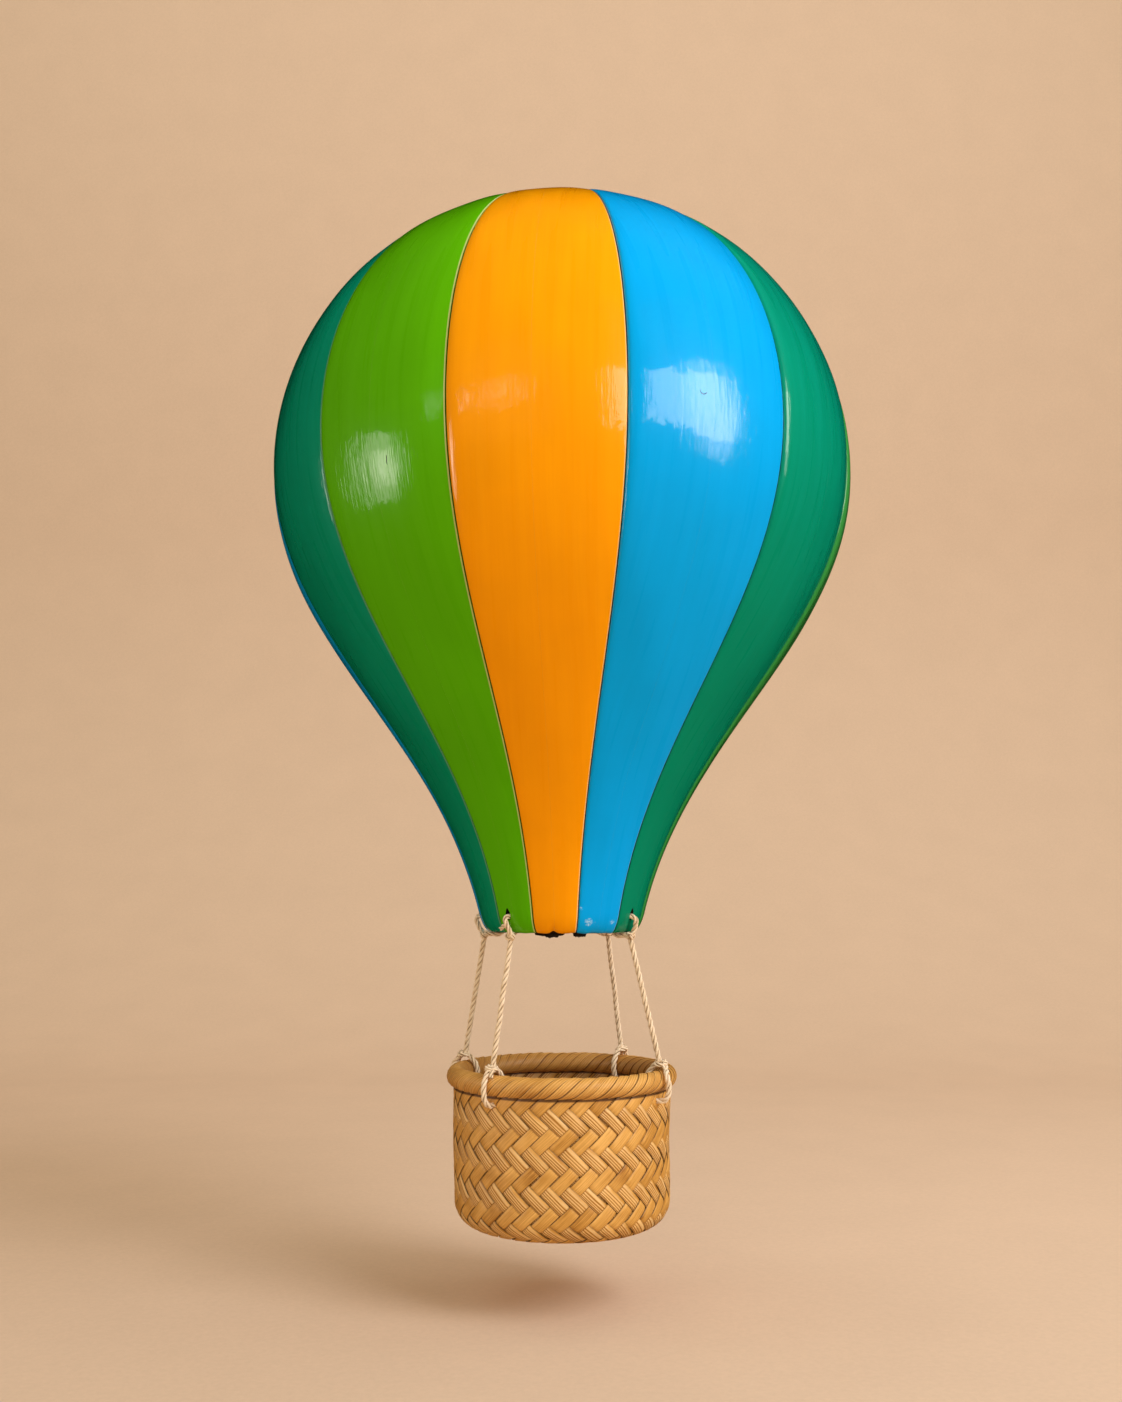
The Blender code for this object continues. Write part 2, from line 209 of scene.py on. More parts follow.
# Camera and stage
camera = {
    "place": (-0.4 * mm, -759.6 * mm, -398.3 * mm),
    "pitch": 7.93,  # degrees, looking up
    "lens": 35.46,
    "sensor": 36,
}
stage = {
    "floorZ": -610 * mm,
    "wallY": 1.75,
    "bend": 0.9,  # radius of the sweep from floor to wall
    "halfWidth": 3.2,
    "front": -1.9,
    "height": 3.4,
    "paper": "#D6BA9E",
}
lights = [
    # name, azimuth and elevation seen from the blue gore, distance, width, height, power, colour, shape, and
    # whether the varnish reflects it or the paint and paper take its light
    ("key_window", 59.8, 13, 1.30, 0.40, 0.84, 4.4, "#FFF9F0", "ELLIPSE", "varnish"),
    ("key_window_wide", 48.3, 15, 1.30, 0.90, 0.54, 8.6, "#FFF9F0", "RECTANGLE", "varnish"),
    ("left_window", -74, -4, 1.35, 0.60, 0.60, 3.7, "#FFF6EA", "ELLIPSE", "varnish"),
    ("left_window_middle", -72, -5, 1.35, 0.28, 0.34, 1.5, "#FFF6EA", "ELLIPSE", "varnish"),
    ("front_window", -23, 16, 1.60, 0.11, 0.32, 0.32, "#FFF6EA", "ELLIPSE", "varnish"),
    ("front_window_side", -39.5, 13, 1.60, 0.05, 0.34, 0.48, "#FFF6EA", "ELLIPSE", "varnish"),
    ("key_light", 57, 14, 1.30, 0.46, 0.86, 4.2, "#FCFEFE", "RECTANGLE", "paint"),
    ("right_softbox", 55, 38, 2.20, 1.30, 1.30, 38, "#EDF0FE", "RECTANGLE", "paint"),
    ("top_softbox", 112, 57, 1.46, 0.70, 0.70, 2.2, "#F4F6FE", "RECTANGLE", "paint"),
    ("front_softbox", -20, 16, 2.40, 1.60, 1.60, 10.0, "#FDFEF4", "RECTANGLE", "paint"),
]
lightTarget = np.array([20 * mm, -150 * mm, -175 * mm])
wallLight = {"place": (0, 0.55, 1.9), "target": (0, 1.75, 0.1), "width": 3.0, "height": 0.5, "power": 9.7,
             "colour": "#FEFCFE", "shape": "RECTANGLE", "taker": "paint"}
world = {"colour": "#FEF3DA", "strength": 0.59}


def placeCamera():
    data = bpy.data.cameras.new("camera")
    data.lens = camera["lens"]
    data.sensor_width = camera["sensor"]
    eye = addObject("camera", data)
    eye.location = camera["place"]
    eye.rotation_euler = (math.radians(90 + camera["pitch"]), 0, 0)
    bpy.context.scene.camera = eye


def addSoftbox(name, place, target, width, height, power, colour, shape, taker):
    data = bpy.data.lights.new(name, "AREA")
    data.shape = shape
    data.size = width
    data.size_y = height
    data.energy = power
    data.color = linearColour(colour)[:3]
    lamp = addObject(name, data)
    lamp.location = place
    towards = np.array(target) - np.array(place)
    flat = math.hypot(towards[0], towards[1])
    lamp.rotation_euler = (math.atan2(flat, -towards[2]), 0, math.atan2(towards[1], towards[0]) - math.pi / 2)
    lamp.visible_camera = False
    lamp.visible_glossy = taker == "varnish"
    lamp.visible_diffuse = taker == "paint"


def makeStage():
    # matt background paper: a warm sheet, faintly fibrous, so it shows no gloss
    material, tree, place, _ = startMaterial("matt_background_paper")
    fibres = addNode(tree, "TexNoise", {"Vector": place, "Scale": 1 / (3 * mm), "Detail": 4.0,
                                        "Roughness": 0.7})
    clouds = addNode(tree, "TexNoise", {"Vector": place, "Scale": 1 / (70 * mm), "Detail": 3.0})
    grain = addNode(tree, "MapRange", {"Value": fibres, "From Min": 0.3, "From Max": 0.7,
                                       "To Min": 0.965, "To Max": 1.03})
    mottle = addNode(tree, "MapRange", {"Value": clouds, "From Min": 0.3, "From Max": 0.7,
                                        "To Min": 0.985, "To Max": 1.015})
    both = addNode(tree, "Math", {0: grain, 1: mottle}, operation="MULTIPLY")
    paper = linearColour(stage["paper"])[:3]
    finishMaterial(material, {
        "Base Color": addNode(tree, "VectorMath", {0: paper, "Scale": both}, operation="SCALE"),
        "Roughness": 0.95,
        "Specular IOR Level": 0.1,
    })

    # the sheet is a floor, a quarter circle and a wall, drawn out sideways
    bendY = stage["wallY"] - stage["bend"]
    bendZ = stage["floorZ"] + stage["bend"]
    turn = np.linspace(0, np.pi / 2, 40)
    floorY = np.linspace(stage["front"], bendY, 12)[:-1]
    wallZ = np.linspace(bendZ, stage["height"], 10)[1:]
    y = np.concatenate([floorY, bendY + stage["bend"] * np.sin(turn), np.full(len(wallZ), stage["wallY"])])
    z = np.concatenate([np.full(len(floorY), stage["floorZ"]), bendZ - stage["bend"] * np.cos(turn), wallZ])
    x = np.linspace(-stage["halfWidth"], stage["halfWidth"], 9)
    points = stacked(x[None, :], y[:, None], z[:, None])
    sheet = makePiece("paper_sweep", [gridPatch(points[::-1])], [material])
    sheet.visible_glossy = False  # so the varnish shows the windows alone


def lightStage():
    for name, azimuth, elevation, distance, width, height, power, colour, shape, taker in lights:
        e = math.radians(elevation)
        place = lightTarget + ringPoint(distance * math.cos(e), azimuth, distance * math.sin(e))
        addSoftbox(name, place, lightTarget, width, height, power, colour, shape, taker)
    addSoftbox("wall_softbox", **wallLight)
    studio = bpy.data.worlds.new("studio")
    studio.use_nodes = True
    background = studio.node_tree.nodes["Background"]
    background.inputs["Color"].default_value = linearColour(world["colour"])
    background.inputs["Strength"].default_value = world["strength"]
    bpy.context.scene.world = studio
    studio.cycles_visibility.glossy = False
    bpy.context.scene.view_settings.view_transform = "Standard"


placeCamera()
makeStage()
lightStage()
print("camera, paper and lights are set")

# Envelope: twelve gores of lacquered paper pulp
envelope = {
    "radius": 160.5 * mm,
    "crownRise": 156.4 * mm,  # apex above the equator
    "drop": 251.3 * mm,  # mouth edge below the equator
    "mouthRadius": 44.9 * mm,
    "lipRise": 10 * mm,
    "lipTuck": 6 * mm,
    "shoulderPull": 92.3 * mm,  # the lower curve's handles
    "neckPull": 102.6 * mm,
    "neckLean": 14,
    "wall": 10 * mm,
    "crownHole": 11 * mm,
    "seamDip": 0.011,  # share of the radius lost at a seam
    "dipPowers": (20, 4),  # how suddenly it is lost towards the left and the right seam
    "seamRound": 1.3 * mm,  # radius of a gore's edge where the envelope is widest
    "gap": 0.16 * mm,
    "firstSeam": -19.8,
    "widths": (30.8, 31.7, 32.3, 29.7, 29.7, 29.7, 29.8, 29.7, 29.7, 29.7, 28.8, 28.4),
    "curveSteps": 1500,
    "lipSteps": 400,
    "rows": 180,
    "lipRows": 14,
    "columns": 31,  # between the rounded edges, closer together towards them
    "crowding": 1.25,
    "edgeColumns": (0, 0.055, 0.19, 0.42, 0.71, 1),  # shares of the rounded edge
    "innerColumns": 9,
    "innerLean": 0.4 * mm,  # how far the wall's inside comes in at the mouth's edge
    "swell": 0.28 * mm,  # hand-moulded unevenness, which fades towards the seams, the crown and the mouth
    "swellFades": (14 * mm, 60 * mm, 40 * mm),
    "swellLengths": (60 * mm, 130 * mm),  # across and along the gore
    "lipSwell": 0.25 * mm,
    "chip": {"gore": 1, "azimuth": -6.5, "spread": 2.2, "depth": 1.1 * mm},  # in the lip's front
    "edgeWear": {"reach": 2.2 * mm, "height": 60 * mm, "strength": 0.5},
}
stays = {
    # name: azimuth at the mouth, azimuth at the basket
    "front_left": (-38.5, -36.8),
    "front_right": (57.5, 65.8),
    "back_right": (142.5, 143.0),
    "back_left": (-98.0, -109.0),
}
sways = {
    # the twine's shifts in mm sideways: in its slit, over the lip's edge, inside the wall, in the knot on the
    # rim, outside the rim, and in the hole under the rim
    "front_left": (0.0, 1.2, -5.5, -1.8, -1.2, 0.0),
    "front_right": (-2.0, 0.0, 0.0, -0.6, -8.0, -7.5),
    "back_right": (0.0, -1.0, 0.0, 0.0, 0.8, 0.0),
    "back_left": (0.0, -0.6, 0.0, 0.0, 0.6, 0.0),
}
goreNames = sorted(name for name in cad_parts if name.startswith("gore_"))
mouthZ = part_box(goreNames[0])[0].z
equatorZ = mouthZ + envelope["drop"]


def envelopeOutline():
    # outer and inner outline (radius, height) in rows from the crown's hole to the mouth, the normals and the
    # length run so far: a quarter ellipse to the equator, a cubic curve to the neck, and a quarter ellipse
    # round the lip
    e = envelope
    start = math.asin(e["crownHole"] / e["radius"])
    a = np.linspace(start, np.pi / 2, e["curveSteps"])
    crown = np.stack([e["radius"] * np.sin(a), equatorZ + e["crownRise"] * np.cos(a)], -1)
    lean = math.radians(e["neckLean"])
    lip = np.array([e["mouthRadius"], mouthZ + e["lipRise"]])
    handles = [
        np.array([e["radius"], equatorZ]),
        np.array([e["radius"], equatorZ - e["shoulderPull"]]),
        lip + e["neckPull"] * np.array([math.sin(lean), math.cos(lean)]),
        lip,
    ]
    u = np.linspace(0, 1, e["curveSteps"])[1:, None]
    weights = [(1 - u) ** 3, 3 * (1 - u) ** 2 * u, 3 * (1 - u) * u ** 2, u ** 3]
    body = sum(w * h for w, h in zip(weights, handles))
    b = np.linspace(0, np.pi / 2, e["lipSteps"])[1:]
    lead = e["lipRise"] * math.tan(lean)  # the lip turns in from the neck's lean with no crease
    tuck = lead * np.sin(b) + (e["lipTuck"] - lead) * (1 - np.cos(b))
    turned = np.stack([e["mouthRadius"] - tuck, mouthZ + e["lipRise"] * (1 - np.sin(b))], -1)
    outer = np.concatenate([crown, body, turned])
    along = np.gradient(outer, axis=0)
    normal = unit(np.stack([-along[:, 1], along[:, 0]], -1))
    inner = outer - e["wall"] * normal
    inner[0, 0] = e["crownHole"]
    lipStart = len(crown) + len(body) - 1
    share = (np.arange(len(outer)) - lipStart) / (len(outer) - 1 - lipStart)
    end = np.array([e["mouthRadius"] - e["wall"] - e["innerLean"], mouthZ])
    straight = inner[lipStart] + np.clip(share, 0, 1)[:, None] * (end - inner[lipStart])
    inner = np.where(share[:, None] > 0, straight, inner)
    run = runAlong(outer)
    rows = np.linspace(0, run[lipStart], e["rows"])
    rows = np.concatenate([rows, np.linspace(run[lipStart], run[-1], e["lipRows"] + 1)[1:]])
    pick = [np.interp(rows, run, column) for column in (*outer.T, *inner.T, *normal.T)]
    return np.stack(pick[:2], -1), np.stack(pick[2:4], -1), np.stack(pick[4:], -1), rows, run[lipStart]


outerOutline, innerOutline, outlineNormal, outlineRun, lipRun = envelopeOutline()

# Spots of wear near the mouth, by azimuth, height above its edge, radius (mm) and how strong
scuffRing = 45 * mm
paleScuffs = [(12.5, 12.6, 1.6, 0.8), (15.0, 12.0, 1.6, 0.6), (18.5, 5.0, 3.0, 1.0), (23.0, 4.2, 3.2, 0.7),
              (37.0, 5.0, 2.6, 0.9), (-19.3, 2.8, 1.3, 1.0), (-46.5, 12.0, 1.4, 0.7), (-47.0, 20.0, 1.4, 0.5),
              (92.0, 5.5, 3.0, 0.7), (160.0, 4.0, 3.4, 0.8), (-140.0, 6.5, 3.0, 0.7), (-160.0, 3.0, 2.4, 0.8)]


def goreMesh(number, middle, halfAngle):
    # across: columns that crowd towards two rounded edges, whose own columns keep their distance from the
    # seam; the radius falls away as a power of the way to the seam, and a quarter circle rounds the edge
    e = envelope
    radius, z = outerOutline.T
    seamRound = e["seamRound"] * (0.5 + 0.5 * radius / e["radius"])[:, None]  # tighter on a narrow gore
    edge = np.array(e["edgeColumns"]) * seamRound
    half = radius * halfAngle - e["gap"] / 2
    core = half - seamRound[:, 0]
    spread = np.sin(np.linspace(-1, 1, e["columns"] + 2)[1:-1] * e["crowding"]) / math.sin(e["crowding"])
    x = np.concatenate([edge - half[:, None], core[:, None] * spread, (half[:, None] - edge)[:, ::-1]], 1)
    across = x / half[:, None]
    fromSeam = np.clip(half[:, None] - abs(x), 0, None)
    into = np.clip(1 - fromSeam / seamRound, 0, 1)
    depth = seamRound * (1 - np.sqrt(1 - into ** 2))
    seamFade, crownFade, mouthFade = e["swellFades"]
    fromMouth = outlineRun[-1] - outlineRun
    calm = smoothStep(fromSeam / seamFade) * smoothStep(outlineRun / crownFade)[:, None]
    calm = calm * smoothStep(fromMouth / mouthFade)[:, None]
    depth = depth - e["swell"] * waves(seed + number, x, outlineRun[:, None], 9, *e["swellLengths"]) * calm
    lipShare = smoothStep((outlineRun - lipRun) / (outlineRun[-1] - lipRun))[:, None]
    angle = middle + x / radius[:, None]
    lipWave = e["lipSwell"] * waves(seed + 90, np.sin(angle), np.cos(angle), 7, 0.38, 0.38)
    chip = e["chip"]
    if number == chip["gore"]:
        fromChip = (np.degrees(angle) - chip["azimuth"]) / chip["spread"]
        lipWave = lipWave + chip["depth"] * np.exp(-fromChip ** 2)
    dip = e["seamDip"] * abs(across) ** np.where(across < 0, *e["dipPowers"])
    ringRadius = radius[:, None] * (1 - dip) - depth * outlineNormal[:, :1]
    height = z[:, None] - depth * outlineNormal[:, 1:] + lipShare * lipWave
    outside = ringPoint(ringRadius, np.degrees(angle), height)

    back = np.linspace(1, -1, e["innerColumns"])
    backAngle = middle + back * (halfAngle - e["gap"] / 2 / innerOutline[:, :1])
    backRadius = innerOutline[:, :1] * (1 - e["seamDip"] * back ** 4)
    inside = ringPoint(backRadius, np.degrees(backAngle), innerOutline[:, 1:])
    points = np.concatenate([outside, inside], 1)
    uv = stacked(np.concatenate([x, back * half[:, None], x[:, :1]], 1), outlineRun[:, None])
    insideRows = np.zeros(inside.shape[:2])
    scuff = np.zeros(outside.shape[:2])
    for azimuth, rise, size, strength in paleScuffs:
        spot = ringPoint(scuffRing, azimuth, mouthZ + rise * mm)
        away = np.linalg.norm(outside - spot, axis=-1)
        scuff = np.maximum(scuff, strength * smoothStep(1.4 - away / (size * mm) * 0.8))
    wear = e["edgeWear"]
    edgeWear = smoothStep(1 - fromSeam / wear["reach"]) * smoothStep(1 - fromMouth / wear["height"])[:, None]
    scuff = np.maximum(scuff, wear["strength"] * edgeWear)
    values = {
        "seamDistance": np.concatenate([np.copysign(fromSeam, x), insideRows + 0.02], 1),
        "scuff": np.concatenate([scuff, insideRows], 1),
    }
    kinds = np.ones(points.shape[1], int)
    kinds[:outside.shape[1] - 1] = 0
    return gridPatch(points, uv, closedColumns=True, caps=True, values=values, materials=kinds)


def lacquerMaterial(name, high, low, deep, inSeam, scuffed, edgeHighlightStrength):
    # Hand-brushed enamel over paper pulp under a clear varnish: long streaks along the gore in tone and
    # height, which break a highlight's edge into strokes, dark paint in the seams and pale scuffs at the lip
    material, tree, place, surface = startMaterial(name)

    def strokes(across, along, detail, distortion=0.0):
        scale = (1 / (across * mm), 1 / (along * mm), 1)
        stretched = addNode(tree, "Mapping", {"Vector": surface, "Scale": scale})
        return addNode(tree, "TexNoise", {"Vector": stretched, "Scale": 1.0, "Detail": detail,
                                          "Distortion": distortion})

    fine = strokes(0.9, 42, 3.0)
    broad = strokes(6, 130, 2.0)
    tone = addNode(tree, "Math", {0: fine, 1: 0.36}, operation="MULTIPLY")
    tone = addNode(tree, "Math", {0: broad, 1: 0.64, 2: tone}, operation="MULTIPLY_ADD")
    tone = addNode(tree, "MapRange", {"Value": tone, "From Min": 0.30, "From Max": 0.62, "To Min": 0.35})
    # the paint runs from the low colour at the mouth to the high one above the equator: painted light,
    # lighter towards the top and darker towards the mouth
    height = addNode(tree, "SeparateXYZ", {"Vector": place}, "Z")
    level = addNode(tree, "MapRange", {"Value": height, "From Min": mouthZ, "From Max": equatorZ + 90 * mm})
    heightShadedPaint = addNode(tree, "Mix", {0: level, 6: low, 7: high}, 2, data_type="RGBA")
    streaked = addNode(tree, "Mix", {0: tone, 6: deep, 7: heightShadedPaint}, 2, data_type="RGBA")
    patchy = addNode(tree, "TexNoise", {"Vector": place, "Scale": 1 / (45 * mm), "Detail": 2.0})
    dapple = addNode(tree, "MapRange", {"Value": patchy, "From Min": 0.35, "From Max": 0.65,
                                        "To Min": 0.97, "To Max": 1.02})
    colour = addNode(tree, "VectorMath", {0: streaked, "Scale": dapple}, operation="SCALE")

    # the seam's bottom is dark, and along one edge of the gore a pale line is painted in as a highlight on
    # the rounded edge
    distance = addNode(tree, "Attribute", output="Fac", attribute_name="seamDistance")
    fromSeam = addNode(tree, "Math", {0: distance}, operation="ABSOLUTE")
    broken = addNode(tree, "TexNoise", {"Vector": place, "Scale": 1 / (4 * mm), "Detail": 3.0})
    reach = addNode(tree, "MapRange", {"Value": broken, "To Min": 0.02 * mm, "To Max": 0.30 * mm})
    groove = addNode(tree, "Math", {0: fromSeam, 1: reach}, operation="LESS_THAN")
    colour = addNode(tree, "Mix", {0: groove, 6: colour, 7: inSeam}, 2, data_type="RGBA")
    nearEdge = addNode(tree, "MapRange", {"Value": distance, "From Min": 0.95 * mm, "From Max": 0.6 * mm,
                                          "To Max": edgeHighlightStrength})
    farEdge = addNode(tree, "MapRange", {"Value": distance, "From Min": 0.25 * mm, "From Max": 0.4 * mm})
    edgeHighlight = addNode(tree, "Math", {0: nearEdge, 1: farEdge}, operation="MULTIPLY")
    # the pale colour of the painted highlight along the edge
    colour = addNode(tree, "Mix", {0: edgeHighlight, 6: colour, 7: "#F3DFA8"}, 2, data_type="RGBA")

    # scuffs show the pale ground in flecks
    flecks = addNode(tree, "TexNoise", {"Vector": place, "Scale": 1 / (1.6 * mm), "Detail": 4.0,
                                        "Roughness": 0.65, "Distortion": 1.2})
    scuff = addNode(tree, "Attribute", output="Fac", attribute_name="scuff")
    worn = addNode(tree, "Math", {0: flecks, 1: scuff}, operation="MULTIPLY")
    worn = addNode(tree, "MapRange", {"Value": worn, "From Min": 0.36, "From Max": 0.50, "To Max": 0.7})

    # varnish: brush ridges 1 to 2 mm apart, drawn deep enough to show, over longer dips in the pulp
    dips = strokes(13, 22, 2.5, 0.4)
    relief = addNode(tree, "Math", {0: strokes(0.7, 14, 2.0), 1: 0.6, 2: strokes(1.7, 30, 2.0, 0.2)},
                     operation="MULTIPLY_ADD")
    brushed = addNode(tree, "Bump", {"Height": relief, "Distance": 0.12 * mm})
    dull = addNode(tree, "MapRange", {"Value": broad, "From Min": 0.3, "From Max": 0.7,
                                      "To Min": 0.24, "To Max": 0.36})
    return finishMaterial(material, {
        "Base Color": addNode(tree, "Mix", {0: worn, 6: colour, 7: scuffed}, 2, data_type="RGBA"),
        "Normal": addNode(tree, "Bump", {"Height": dips, "Distance": 0.12 * mm}),
        "Roughness": addNode(tree, "Math", {0: worn, 1: 0.3, 2: dull}, operation="MULTIPLY_ADD"),
        "IOR": 1.5,
        "Specular IOR Level": 0.06,
        "Coat Normal": addNode(tree, "Bump", {"Height": dips, "Distance": 0.36 * mm, "Normal": brushed}),
        "Coat Weight": 0.8,
        "Coat Roughness": 0.06,
        "Coat IOR": 1.45,
    })


def pulpMaterial():
    # Black-stained paper pulp: matt, fibrous, a little brown where the stain is thin
    material, tree, place, _ = startMaterial("stained_paper_pulp")
    fibres = addNode(tree, "TexNoise", {"Vector": place, "Scale": 1 / (1.8 * mm), "Detail": 5.0,
                                        "Roughness": 0.7})
    stain = addNode(tree, "ValToRGB", {"Fac": fibres}, stops=[(0.35, "#14100D"), (0.75, "#3A2A1C")])
    return finishMaterial(material, {
        "Base Color": stain,
        "Normal": addNode(tree, "Bump", {"Height": fibres, "Distance": 0.25 * mm}),
        "Roughness": 0.85,
        "Specular IOR Level": 0.12,
    })


paints = {
    # high and low on the gore (painted light, lighter towards the top), in the deep of the strokes, in the
    # seam, scuffed, and how strong the painted highlight along one edge is
    "orange": ("#FFA300", "#FC9C00", "#F79600", "#7A4509", "#FFC873", 0.6),
    "blue": ("#00A8EA", "#00A4EC", "#009FE4", "#0F4E72", "#BFE3F5", 0.25),
    "green": ("#5DB500", "#58AF00", "#54AA00", "#234009", "#D9E07A", 0.6),
    "deep_green": ("#3A9544", "#368F3E", "#328A39", "#1B3A16", "#C4DB8C", 0.3),
    "dark_green": ("#009578", "#008560", "#00835D", "#063F2F", "#9FD8BC", 0.15),
}
darkerGreenGore = {"gore_04_green": "deep_green"}  # this gore takes a darker, bluer copy of the green
lacquers = {name: lacquerMaterial(f"brushed_enamel_{name}", *paint) for name, paint in paints.items()}
pulp = pulpMaterial()
slit = {
    "middle": 9.8 * mm,  # above the mouth's edge
    "down": 3.3 * mm,
    "up": 3.1 * mm,
    "halfWidth": 1.5 * mm,
    "tip": 0.05 * mm,  # half width at its point
    "cut": 12 * mm,  # how far the cutter reaches each way through the wall
}


def slitCutter(name, azimuth):
    # a long hole pulled to a point at its top: its half width follows half an ellipse below and a taper above
    down, up, wide = slit["down"], slit["up"], slit["halfWidth"]
    z = np.concatenate([np.linspace(-down, 0, 8), np.linspace(0, up, 8)[1:]])
    half = np.where(z < 0, wide * np.sqrt(np.clip(1 - (z / down) ** 2, 0.004, 1)),
                    wide * (1 - np.clip(z / up, 0, 1) ** 1.6) + slit["tip"])
    side = np.concatenate([half, -half[::-1]])[:, None]
    level = (np.concatenate([z, z[::-1]]) + mouthZ + slit["middle"])[:, None]
    out, across = ringPoint(1, azimuth, 0), ringPoint(1, azimuth + 90, 0)
    middle = (envelope["mouthRadius"] - envelope["wall"] / 2) * out
    points = np.stack([middle + reach * out + side * across + level * upward
                       for reach in (slit["cut"], -slit["cut"])])
    return makePiece(name, [gridPatch(points, closedColumns=True, caps=True)], [pulp])


def cutThrough(piece, cutter):
    # the cut is applied, so the piece keeps no live modifier
    change = piece.modifiers.new("cut", "BOOLEAN")
    change.object = cutter
    change.solver = "EXACT"
    evaluated = piece.evaluated_get(bpy.context.evaluated_depsgraph_get())
    mesh = bpy.data.meshes.new_from_object(evaluated)
    piece.modifiers.clear()
    mesh.set_sharp_from_angle(angle=math.radians(50))
    piece.data = mesh
    bpy.data.objects.remove(cutter)


def makeGores():
    azimuth = envelope["firstSeam"]
    for number, (name, width) in enumerate(zip(goreNames, envelope["widths"]), 1):
        colour = name.split("_", 2)[2]
        patch = goreMesh(number, math.radians(azimuth + width / 2), math.radians(width / 2))
        lacquer = lacquers[darkerGreenGore.get(name, colour)]
        gore = makePiece(f"painted_{name}", [patch], [lacquer, pulp], "envelope", [name],
                         sharpAngle=50)
        for stay, (top, _) in stays.items():
            if (top - azimuth) % 360 < width:
                shift = math.degrees(sways[stay][0] * mm / envelope["mouthRadius"])
                cutThrough(gore, slitCutter(f"slit_{stay}", top + shift))
        azimuth += width


makeGores()
print("the gores are brushed and varnished")

# Black paper lining, torn off raggedly at the mouth, and two cracks in the paint
lining = {
    "height": 75 * mm,  # how far it reaches up inside
    "thickness": 0.25 * mm,
    "clearance": 0.15 * mm,
    "waver": 0.25 * mm,  # how unevenly it lies on the wall
    "rows": 16,
    "columns": 720,
    # torn edge: azimuth in degrees and height above the mouth edge in mm
    "tears": [(-180, 2), (-164, 2), (-160, -0.9), (-149, -1.4), (-146, 2), (-98, 2.5), (-40, 2), (-26, 1.4),
              (-24, -0.9), (-10, -2.5), (-6, -2.3), (1, -1.2), (5, 1.2), (9, 1.2), (10.5, -1.5), (14.5, -2.2),
              (21, -1.9), (24, 1.2), (60, 2.4), (118, 2), (121, -1.0), (131, -0.6), (133, 2), (180, 2)],
}
cracks = {
    # gore, azimuth, height (mm), half width (mm), and the line as (sideways, up) in mm
    "green": ("gore_12_green", -31.41, -197.0, 0.46, [(0.1, -2.4), (-0.1, -1.0), (0.15, 0.4), (0.0, 2.3)]),
    "blue": ("gore_02_blue", 24.0, -169.2, 0.36,
             [(-1.5, 1.9), (-1.0, 0.2), (0.3, -0.4), (1.6, 0.1), (2.1, 1.0)]),
}
crackSteps = 13
crackSection = ((-1, -0.05), (0, 0.05), (1, -0.05), (0, -0.12))  # share of the half width, and height in mm


def makeLining():
    # a thin sleeve inside the wall: down its outer side to the torn edge, and up its inner side
    azimuth = np.linspace(-180, 180, lining["columns"], endpoint=False)
    turn, rise = np.array(lining["tears"]).T
    ragged = 0.35 * waves(seed + 1, azimuth, 0, 8, 7, 1) + 0.2 * waves(seed + 2, azimuth, 0, 8, 2.2, 1)
    low = mouthZ + (np.interp(azimuth, turn, rise) + ragged) * mm
    share = np.linspace(0, 1, lining["rows"])[:, None] ** 0.7
    z = mouthZ + lining["height"] + (low - mouthZ - lining["height"]) * share
    wall = np.interp(z, innerOutline[::-1, 1], innerOutline[::-1, 0]) * (1 - envelope["seamDip"])
    waver = lining["waver"] * (waves(seed + 3, azimuth, z, 6, 30, 20 * mm) + 1) * share
    outer = wall - lining["clearance"] - waver
    inner = outer - lining["thickness"]
    points = np.concatenate([ringPoint(outer, azimuth, z), ringPoint(inner, azimuth, z)[::-1]])
    makePiece("torn_black_lining", [gridPatch(points, closedRows=True, closedColumns=True)], [pulp],
              "envelope", sharpAngle=60)


def makeCracks():
    # each crack is a tapered dark ridge 0.05 mm high, laid on the gore where rays towards the axis meet it
    for name, (node, azimuth, height, halfWidth, line) in cracks.items():
        gore = bpy.data.objects[f"painted_{node}"]
        middle = np.linspace(0, len(line) - 1, crackSteps)
        side, rise = (np.interp(middle, np.arange(len(line)), column) * mm for column in np.array(line).T)
        width = halfWidth * mm * np.sqrt(np.clip(1 - np.linspace(-1, 1, crackSteps) ** 2, 0.01, 1))
        step = unit(np.stack([np.gradient(side), np.gradient(rise)], -1))
        points = []
        for share, lift in crackSection:
            x, z = side - share * width * step[:, 1], rise + share * width * step[:, 0]
            spots = besidePoint(azimuth, 0.3, height * mm + z[:, None], x[:, None])
            found = [gore.ray_cast(tuple(spot), tuple(-ringPoint(1.0, azimuth, 0))) for spot in spots]
            points.append([np.array(hit[1]) + lift * mm * np.array(hit[2]) for hit in found])
        patch = gridPatch(np.array(points).transpose(1, 0, 2), closedColumns=True, caps=True)
        makePiece(f"paint_crack_{name}", [patch], [pulp], "envelope")


makeLining()
makeCracks()
print("the lining is torn and the paint has its cracks")

